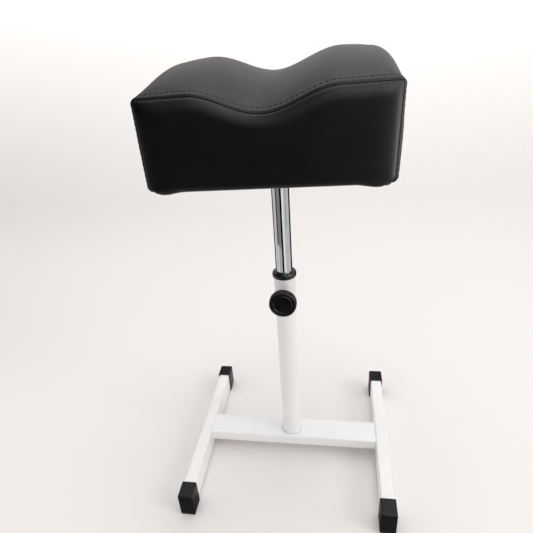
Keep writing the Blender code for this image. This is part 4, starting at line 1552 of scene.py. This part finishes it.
    def panel_points(self, panel: Facing) -> np.ndarray:
        """Gives a panel's finished points, with its edge folded under the board.

        Args:
            panel: the front or the back one.

        Returns:
            Points as [row, column, xyz].
        """
        form = self.form
        points = form.panel_grid(panel, self.counts.finer(self.fine), self.panel_stand_off)
        rows, columns = (np.arange(count) / self.fine for count in points.shape[:2])
        points += self.stuffing.refined(self.stuffing.panel_moved[panel], rows, columns)
        from_side = form.panel_edges(points)[0]
        points[:, :, 1] += panel.value * self.panel_ripples(points)
        low = form.panel_low
        side_power, fold_power, bulge_power = self.fold_powers
        drop = (form.band_low - low) * np.clip(from_side / self.low_side, 0.0, 1.0) ** side_power
        fold_share = np.clip((from_side - self.fold_start) / self.fold_length, 0.0, 1.0) ** fold_power
        drop += self.fold_drop * np.sin(np.pi * fold_share) ** bulge_power
        above = points[:, :, 2] - points[0, :, 2]
        points[:, :, 2] -= drop * np.clip(1.0 - above / self.low_reach, 0.0, 1.0)
        rise = (points[:, :, 2] - np.minimum(low, points[0, :, 2])) / self.low_rounding
        points[:, :, 1] -= panel.value * self.low_rounding * (1.0 - form.rolled(rise))
        edge = points[0]
        inner = panel.value * (form.seam_depth / 2 - form.fold_under)
        under = []
        for share in np.linspace(1.0, 0.0, self.tuck_rows + 1)[:-1]:
            fallen = edge[:, 2] + (low - edge[:, 2]) * min(1.0, self.tuck_fall * share)
            under.append(np.column_stack((edge[:, 0] * (1.0 - self.tuck_taper * share),
                                          edge[:, 1] + share * (inner - edge[:, 1]), fallen)))
        return np.concatenate((np.array(under), points))

    def leather(self, name: str, points: np.ndarray, node: str, outwards: Place) -> None:
        """Makes one piece of the cover from its outer points.

        Args:
            name: the piece's name.
            points: as [row, column, xyz].
            node: the node that it stands for.
            outwards: a direction on its outer side, for the face in its middle.
        """
        made = self.shop.piece(name, faced(points, outwards), LEATHERETTE, Body.HEAD, [node], solid=False)
        walled(made, "leather", self.form.leather, -1.0)

    def stitches(self, name: str, panel: Facing, band: np.ndarray, normals: np.ndarray) -> None:
        """Sews the stitch line beside one seam.

        Args:
            name: the piece's name.
            panel: the panel whose seam it runs along.
            band: the band's points.
            normals: the normals of its form.
        """
        offset = self.stitch_line if panel is Facing.FRONT else self.form.seam_depth - self.stitch_line
        row = int(np.argmin(np.abs(self.offsets - offset)))
        under = self.counts.under * self.fine
        run = self.along_seam(band[0])[under:-under]

        def read(values: np.ndarray, place: float) -> Vector:
            """Reads the row of a grid at a length along the seam."""
            return Vector([np.interp(place, run, values[row, under:-under, axis]) for axis in range(3)])

        size = Matrix.Diagonal((self.stitch_length / 2, self.stitch_width / 2, self.stitch_width / 2, 1.0))
        bm = bmesh.new()
        for number in range(math.ceil(run[0] / self.stitch_pitch), math.floor(run[-1] / self.stitch_pitch)):
            place = (number + 0.5) * self.stitch_pitch
            forward = (read(band, place + MM) - read(band, place - MM)).normalized()
            side = read(normals, place).normalized().cross(forward).normalized()
            up = forward.cross(side)
            turn = Matrix((forward, side, up)).transposed().to_4x4()
            spot = Matrix.Translation(read(band, place) + up * self.stitch_rise)
            bmesh.ops.create_uvsphere(bm, u_segments=8, v_segments=6, radius=1.0,
                                      matrix=spot @ turn @ size @ Matrix.Rotation(math.pi / 2, 4, "Y"))
        self.shop.piece(name, bm, THREAD, Body.HEAD)

    def foam(self) -> None:
        """Builds the foam inside the cover, cut flat on the board."""
        grids = [self.stuffing.band + self.stuffing.band_moved]
        grids += [self.stuffing.panels[panel] + self.stuffing.panel_moved[panel] for panel in Facing]
        bm = shell_of(grids)
        bm.normal_update()
        for vert in bm.verts:
            vert.co -= vert.normal * self.foam_inset
        bmesh.ops.smooth_vert(bm, verts=bm.verts, factor=0.5, use_axis_x=True, use_axis_y=True,
                              use_axis_z=True)
        cut(bm, (0.0, 0.0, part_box("foam_core")[0].z), (0.0, 0.0, 1.0), clear_inner=True)
        made = self.shop.piece("foam_block", filled(bm), FOAM, Body.HEAD, ["foam_core"])

    def pleats(self) -> None:
        """Lays one soft pleat beside each corner, where the cover is folded under the board."""
        bm = bmesh.new()
        form = self.form
        inset, depth, lift = self.pleat_inset
        size = Matrix.Diagonal((self.pleat_length / 2, self.pleat_half_width, self.pleat_drop, 1.0))
        for panel in Facing:
            for side in (-1, 1):
                place = Vector((side * (form.bottom_half_length - inset - self.pleat_length / 2),
                                panel.value * (form.seam_depth / 2 - depth), form.panel_low + lift))
                turn = (Matrix.Rotation(side * panel.value * self.pleat_turn, 4, "Z")
                        @ Matrix.Rotation(side * self.pleat_lean, 4, "Y"))
                made = bmesh.ops.create_uvsphere(bm, u_segments=40, v_segments=20, radius=1.0,
                                                 matrix=Matrix.Translation(place) @ turn @ size)
                for vert in made["verts"]:
                    first, second = (wave * (vert.co.x - place.x) / self.pleat_length
                                     for wave in self.wrinkle_waves)
                    vert.co.z += self.wrinkle * math.sin(first) * math.cos(second + side)
        self.shop.piece("corner_pleats", bm, LEATHERETTE, Body.HEAD)

    def build(self) -> None:
        """Builds the cushion from the foam out."""
        self.stuffing.run()
        band, normals = self.band_points()
        self.leather("cover_band_sewn", band, "cover_band", (0.0, 0.0, 1.0))
        for panel in Facing:
            side = panel.name.lower()
            self.leather(f"cover_{side}_sewn", self.panel_points(panel), f"cover_{side}",
                         (0.0, float(panel.value), 0.0))
            self.stitches(f"stitches_{side}", panel, band, normals)
        self.foam()
        self.pleats()
        self.shop.dress("base_board", PLYWOOD)


@dataclass
class DustCloth:
    """The cloth stretched over the cushion's underside, with its staples."""

    shop: Workshop
    counts: tuple[int, int] = (54, 62)
    thickness: float = 0.0004
    ripple: float = 0.0002
    ripple_reach: float = 0.012
    ripple_shift: float = 0.8
    pitch: float = 0.024
    length: float = 0.010
    wire: float = 0.0007
    sink: float = 0.3
    inset: float = 0.006
    lean: float = 0.12
    scatter: Point = (7.3, 2.1)

    def places(self, low: Vector, high: Vector) -> list[Matrix]:
        """Sets out the staples round the cloth's edge.

        Args:
            low: the cloth's lowest corner.
            high: its highest corner.

        Returns:
            The place of each staple, its crown along local X.
        """
        places = []
        inset = self.inset
        for axis in (0, 1):
            other = 1 - axis
            length = high[axis] - low[axis] - 4 * inset
            count = round(length / self.pitch)
            for step in range(count + 1):
                for edge, sign in ((low[other] + inset, 1), (high[other] - inset, -1)):
                    spot = Vector((0.0, 0.0, low.z - self.wire * self.sink))
                    spot[axis] = low[axis] + 2 * inset + length * step / count
                    spot[other] = edge
                    scatter = self.scatter[0] * step + self.scatter[1] * axis + sign
                    turn = self.lean * math.sin(scatter) + axis * math.pi / 2
                    places.append(Matrix.Translation(spot) @ Matrix.Rotation(turn, 4, "Z"))
        return places

    def build(self) -> None:
        """Stretches the cloth over the underside and staples it."""
        low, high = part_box("underside_cloth")
        rows, columns = self.counts
        x = np.linspace(low.x, high.x, columns + 1)[None, :]
        y = np.linspace(low.y, high.y, rows + 1)[:, None]
        edge = np.minimum(np.minimum(x - low.x, high.x - x), np.minimum(y - low.y, high.y - y))
        beat = math.tau / self.pitch
        ripple = 1.0 + np.sin(x * beat) * np.sin(y * beat + self.ripple_shift)
        z = high.z - self.ripple * (1.0 + ripple * np.exp(-edge / self.ripple_reach))
        points = np.dstack((x + 0.0 * y, y + 0.0 * x, z))
        cloth = self.shop.piece("dust_cloth", faced(points, (0.0, 0.0, -1.0)), DUST_CLOTH, Body.HEAD,
                                ["underside_cloth"], solid=False)
        walled(cloth, "cloth", self.thickness, 0.0)
        staples = bmesh.new()
        size = Matrix.Diagonal((self.length, self.wire, self.wire, 1.0))
        for place in self.places(low, high):
            made = bmesh.ops.create_cube(staples, size=1.0, matrix=place @ size)
            edges = {edge for vert in made["verts"] for edge in vert.link_edges}
            soften(staples, list(edges), self.wire * self.sink, 2)
        self.shop.piece("dust_cloth_staples", staples, ZINC, Body.HEAD)


@dataclass(frozen=True)
class Softbox:
    """A square lamp: its width, watts, place and the point that it looks at."""

    name: str
    width: float
    watts: float
    place: Place
    target: Place

    def hang(self) -> None:
        """Adds the lamp."""
        lamp = bpy.data.lights.new(self.name, "AREA")
        lamp.size = self.width
        lamp.energy = self.watts
        made = linked(self.name, lamp)
        made.location = self.place
        made.rotation_euler = (Vector(self.target) - Vector(self.place)).to_track_quat("-Z", "Y").to_euler()


@dataclass(frozen=True)
class Card:
    """A card that only reflections see, set out round the column.

    Its azimuth is in degrees from the front towards the right and its tilt from lying flat. It
    shines by itself, so its tone, times its glow, is what a mirror shows.
    """

    name: str
    tone: str
    size: Point
    azimuth: float
    distance: float
    height: float
    tilt: float = 90.0
    glow: float = 1.0

    def stand(self) -> Object:
        """Stands the card, which no camera, diffuse or shadow ray sees.

        Returns:
            The card.
        """
        paint = bpy.data.materials.new(self.name)
        paint.use_nodes = True
        shader = paint.node_tree.nodes["Principled BSDF"].inputs
        shader["Base Color"].default_value = linear("#000000")
        shader["Specular IOR Level"].default_value = 0.0
        shader["Emission Color"].default_value = linear(self.tone)
        shader["Emission Strength"].default_value = self.glow
        bm = bmesh.new()
        place = (Matrix.Rotation(math.radians(self.azimuth), 4, "Z")
                 @ Matrix.Translation((0.0, -self.distance, self.height))
                 @ Matrix.Rotation(math.radians(self.tilt), 4, "X") @ Matrix.Diagonal((*self.size, 1.0, 1.0)))
        bmesh.ops.create_grid(bm, x_segments=1, y_segments=1, size=0.5, matrix=place)
        card = placed(self.name, bm)
        card.data.materials.append(paint)
        card.visible_camera = card.visible_diffuse = card.visible_shadow = False
        return card


@dataclass
class Studio:
    """A pale sweep, soft lamps, cards that reflections see, and the camera."""

    floor_colour: str = "#ECE8E6"
    half_width: float = 3.0
    front: float = -3.0
    back: float = 1.4
    sweep: float = 0.8
    wall_top: float = 3.2
    # The strongest painted glow on the wall, which only the camera sees.
    wall_glow: float = 0.65
    ambient: float = 0.72
    focal_pixels: float = 474.2711
    optical_centre: Point = (241.69182, 313.77865)
    camera_place: Place = (0.07701794, -0.64489225, 0.68546024)
    camera_turn: Place = (1.02786, 0.09162, 0.17319)
    near_clip: float = 0.01
    lamps: tuple[Softbox, ...] = (
        Softbox("softbox_overhead", 1.7, 20.0, (0.15, 0.15, 2.6), (0.0, 0.0, 0.35)),
        Softbox("softbox_back", 2.4, 9.0, (0.1, 2.0, 2.0), (0.0, 0.0, 0.5)),
        Softbox("softbox_right", 1.1, 21.0, (2.6, -1.0, 2.0), (0.0, 0.0, 0.4)),
    )
    cards: tuple[Card, ...] = (
        Card("card_front", "#080808", (2.3, 0.88), -4.0, 1.25, 0.44),
        Card("card_left_high", "#101010", (2.4, 2.6), -61.0, 1.5, 1.6),
        Card("reflector_middle", "#FFFFFF", (0.55, 2.0), -3.0, 1.8, 1.9, tilt=55.0, glow=1.5),
        Card("reflector_right", "#FFFFFF", (2.0, 2.0), 36.0, 1.8, 1.9, tilt=55.0, glow=4.0),
        Card("reflector_side", "#FFFFFF", (1.9, 1.0), 72.0, 1.8, 0.75, glow=4.6),
        Card("reflector_knob", "#FFFFFF", (0.12, 0.12), 62.0, 0.60, 0.45, glow=18.0),
        Card("card_below_knob", "#0A0A0A", (0.34, 0.30), -6.0, 0.62, 0.012, tilt=0.0),
        Card("card_floor_left", "#6E6E6E", (0.24, 0.24), -33.0, 0.31, 0.004, tilt=0.0),
        Card("card_floor_right", "#6E6E6E", (0.24, 0.24), 33.0, 0.31, 0.004, tilt=0.0),
        Card("chrome_middle_grey", "#868688", (0.50, 0.25), -30.0, 0.62, 0.265),
        Card("chrome_middle_pale", "#B4B4B6", (0.50, 0.12), -30.0, 0.63, 0.09),
        Card("chrome_middle_black", "#060606", (0.25, 0.40), 1.2, 0.60, 0.20),
        Card("chrome_glint", "#F4F4F4", (0.26, 0.40), 26.0, 0.62, 0.20),
        Card("chrome_left_line", "#060606", (0.16, 0.25), -58.0, 0.61, 0.28),
        Card("chrome_left_light", "#C6C6C8", (0.38, 0.40), -81.0, 0.62, 0.20),
        Card("chrome_left_edge", "#585858", (0.72, 0.40), -141.0, 0.62, 0.20),
        Card("chrome_right_light", "#CACACC", (0.95, 0.40), 76.0, 0.62, 0.20),
        Card("chrome_right_line", "#808082", (0.08, 0.20), 63.0, 0.60, 0.31),
        Card("chrome_right_edge", "#080808", (0.66, 0.40), 145.0, 0.62, 0.20),
    )

    def paper(self) -> bpy.types.Material:
        """Makes the pale backdrop paper, with a painted glow that grows up the wall for the camera alone.

        Returns:
            The material.
        """
        made = bpy.data.materials.new("backdrop_paper_pale")
        made.use_nodes = True
        tree = made.node_tree
        tree.nodes.clear()
        where = add_node(tree, "ShaderNodeTexCoord").outputs["Object"]
        height = add_node(tree, "ShaderNodeSeparateXYZ", inputs={"Vector": where}).outputs["Z"]
        lift = add_node(tree, "ShaderNodeMapRange",
                        inputs={"Value": height, "From Max": self.wall_top / 2, "To Max": self.wall_glow})
        # Painted light: the glow shows to camera rays alone and lights nothing.
        seen = add_node(tree, "ShaderNodeLightPath").outputs["Is Camera Ray"]
        camera_glow = add_node(tree, "ShaderNodeMath", {"operation": "MULTIPLY"},
                         {0: lift.outputs["Result"], 1: seen})
        shader = add_node(tree, "ShaderNodeBsdfPrincipled",
                          inputs={"Base Color": linear(self.floor_colour), "Roughness": 0.8,
                                  "Specular IOR Level": 0.0, "Emission Color": linear("#FFFFFF"),
                                  "Emission Strength": camera_glow.outputs["Value"]})
        add_node(tree, "ShaderNodeOutputMaterial", inputs={"Surface": shader.outputs["BSDF"]})
        return made

    def backdrop(self) -> None:
        """Builds the sweep from the floor into the wall."""
        bm = bmesh.new()
        profile = [(self.front, 0.0), *arc((self.back, self.sweep), self.sweep, -90.0, 0.0, 24),
                   (self.back + self.sweep, self.wall_top)]
        _, edges = wire(bm, [(-self.half_width, depth, height) for depth, height in profile])
        pulled = bmesh.ops.extrude_edge_only(bm, edges=edges)["geom"]
        bmesh.ops.translate(bm, verts=verts_of(pulled), vec=(2 * self.half_width, 0.0, 0.0))
        bmesh.ops.recalc_face_normals(bm, faces=bm.faces)
        sweep = placed("studio_sweep", bm)
        sweep.data.shade_smooth()
        sweep.data.materials.append(self.paper())

    def light(self) -> None:
        """Sets the even light of the room and hangs the lamps."""
        world = bpy.data.worlds.new("studio_room")
        world.use_nodes = True
        world.node_tree.nodes.clear()
        room = add_node(world.node_tree, "ShaderNodeBackground",
                        inputs={"Color": linear("#FFFFFF"), "Strength": self.ambient})
        add_node(world.node_tree, "ShaderNodeOutputWorld", inputs={"Surface": room.outputs["Background"]})
        bpy.context.scene.world = world
        for lamp in self.lamps:
            lamp.hang()

    def camera(self) -> None:
        """Stands the camera where the photograph was taken from."""
        lens = bpy.data.cameras.new("camera")
        lens.sensor_width = SENSOR_MM
        lens.lens = self.focal_pixels * SENSOR_MM / PICTURE
        lens.shift_x = (PICTURE / 2 - self.optical_centre[0]) / PICTURE
        lens.shift_y = (self.optical_centre[1] - PICTURE / 2) / PICTURE
        lens.clip_start = self.near_clip
        made = linked("camera", lens)
        made.location = self.camera_place
        made.rotation_euler = self.camera_turn
        bpy.context.scene.camera = made

    def build(self) -> None:
        """Sets the whole studio."""
        bpy.context.scene.view_settings.view_transform = "Standard"
        self.backdrop()
        [card.stand() for card in self.cards]
        self.light()
        self.camera()


def main() -> None:
    """Builds the footrest's pieces and the studio."""
    logging.basicConfig(level=logging.INFO, format="%(name)s: %(message)s")
    shop = Workshop()
    for kind in (Stand, Column, Clamp, Post, Cushion, DustCloth):
        kind(shop).build()
    Studio().build()


if __name__ == "__main__":
    main()
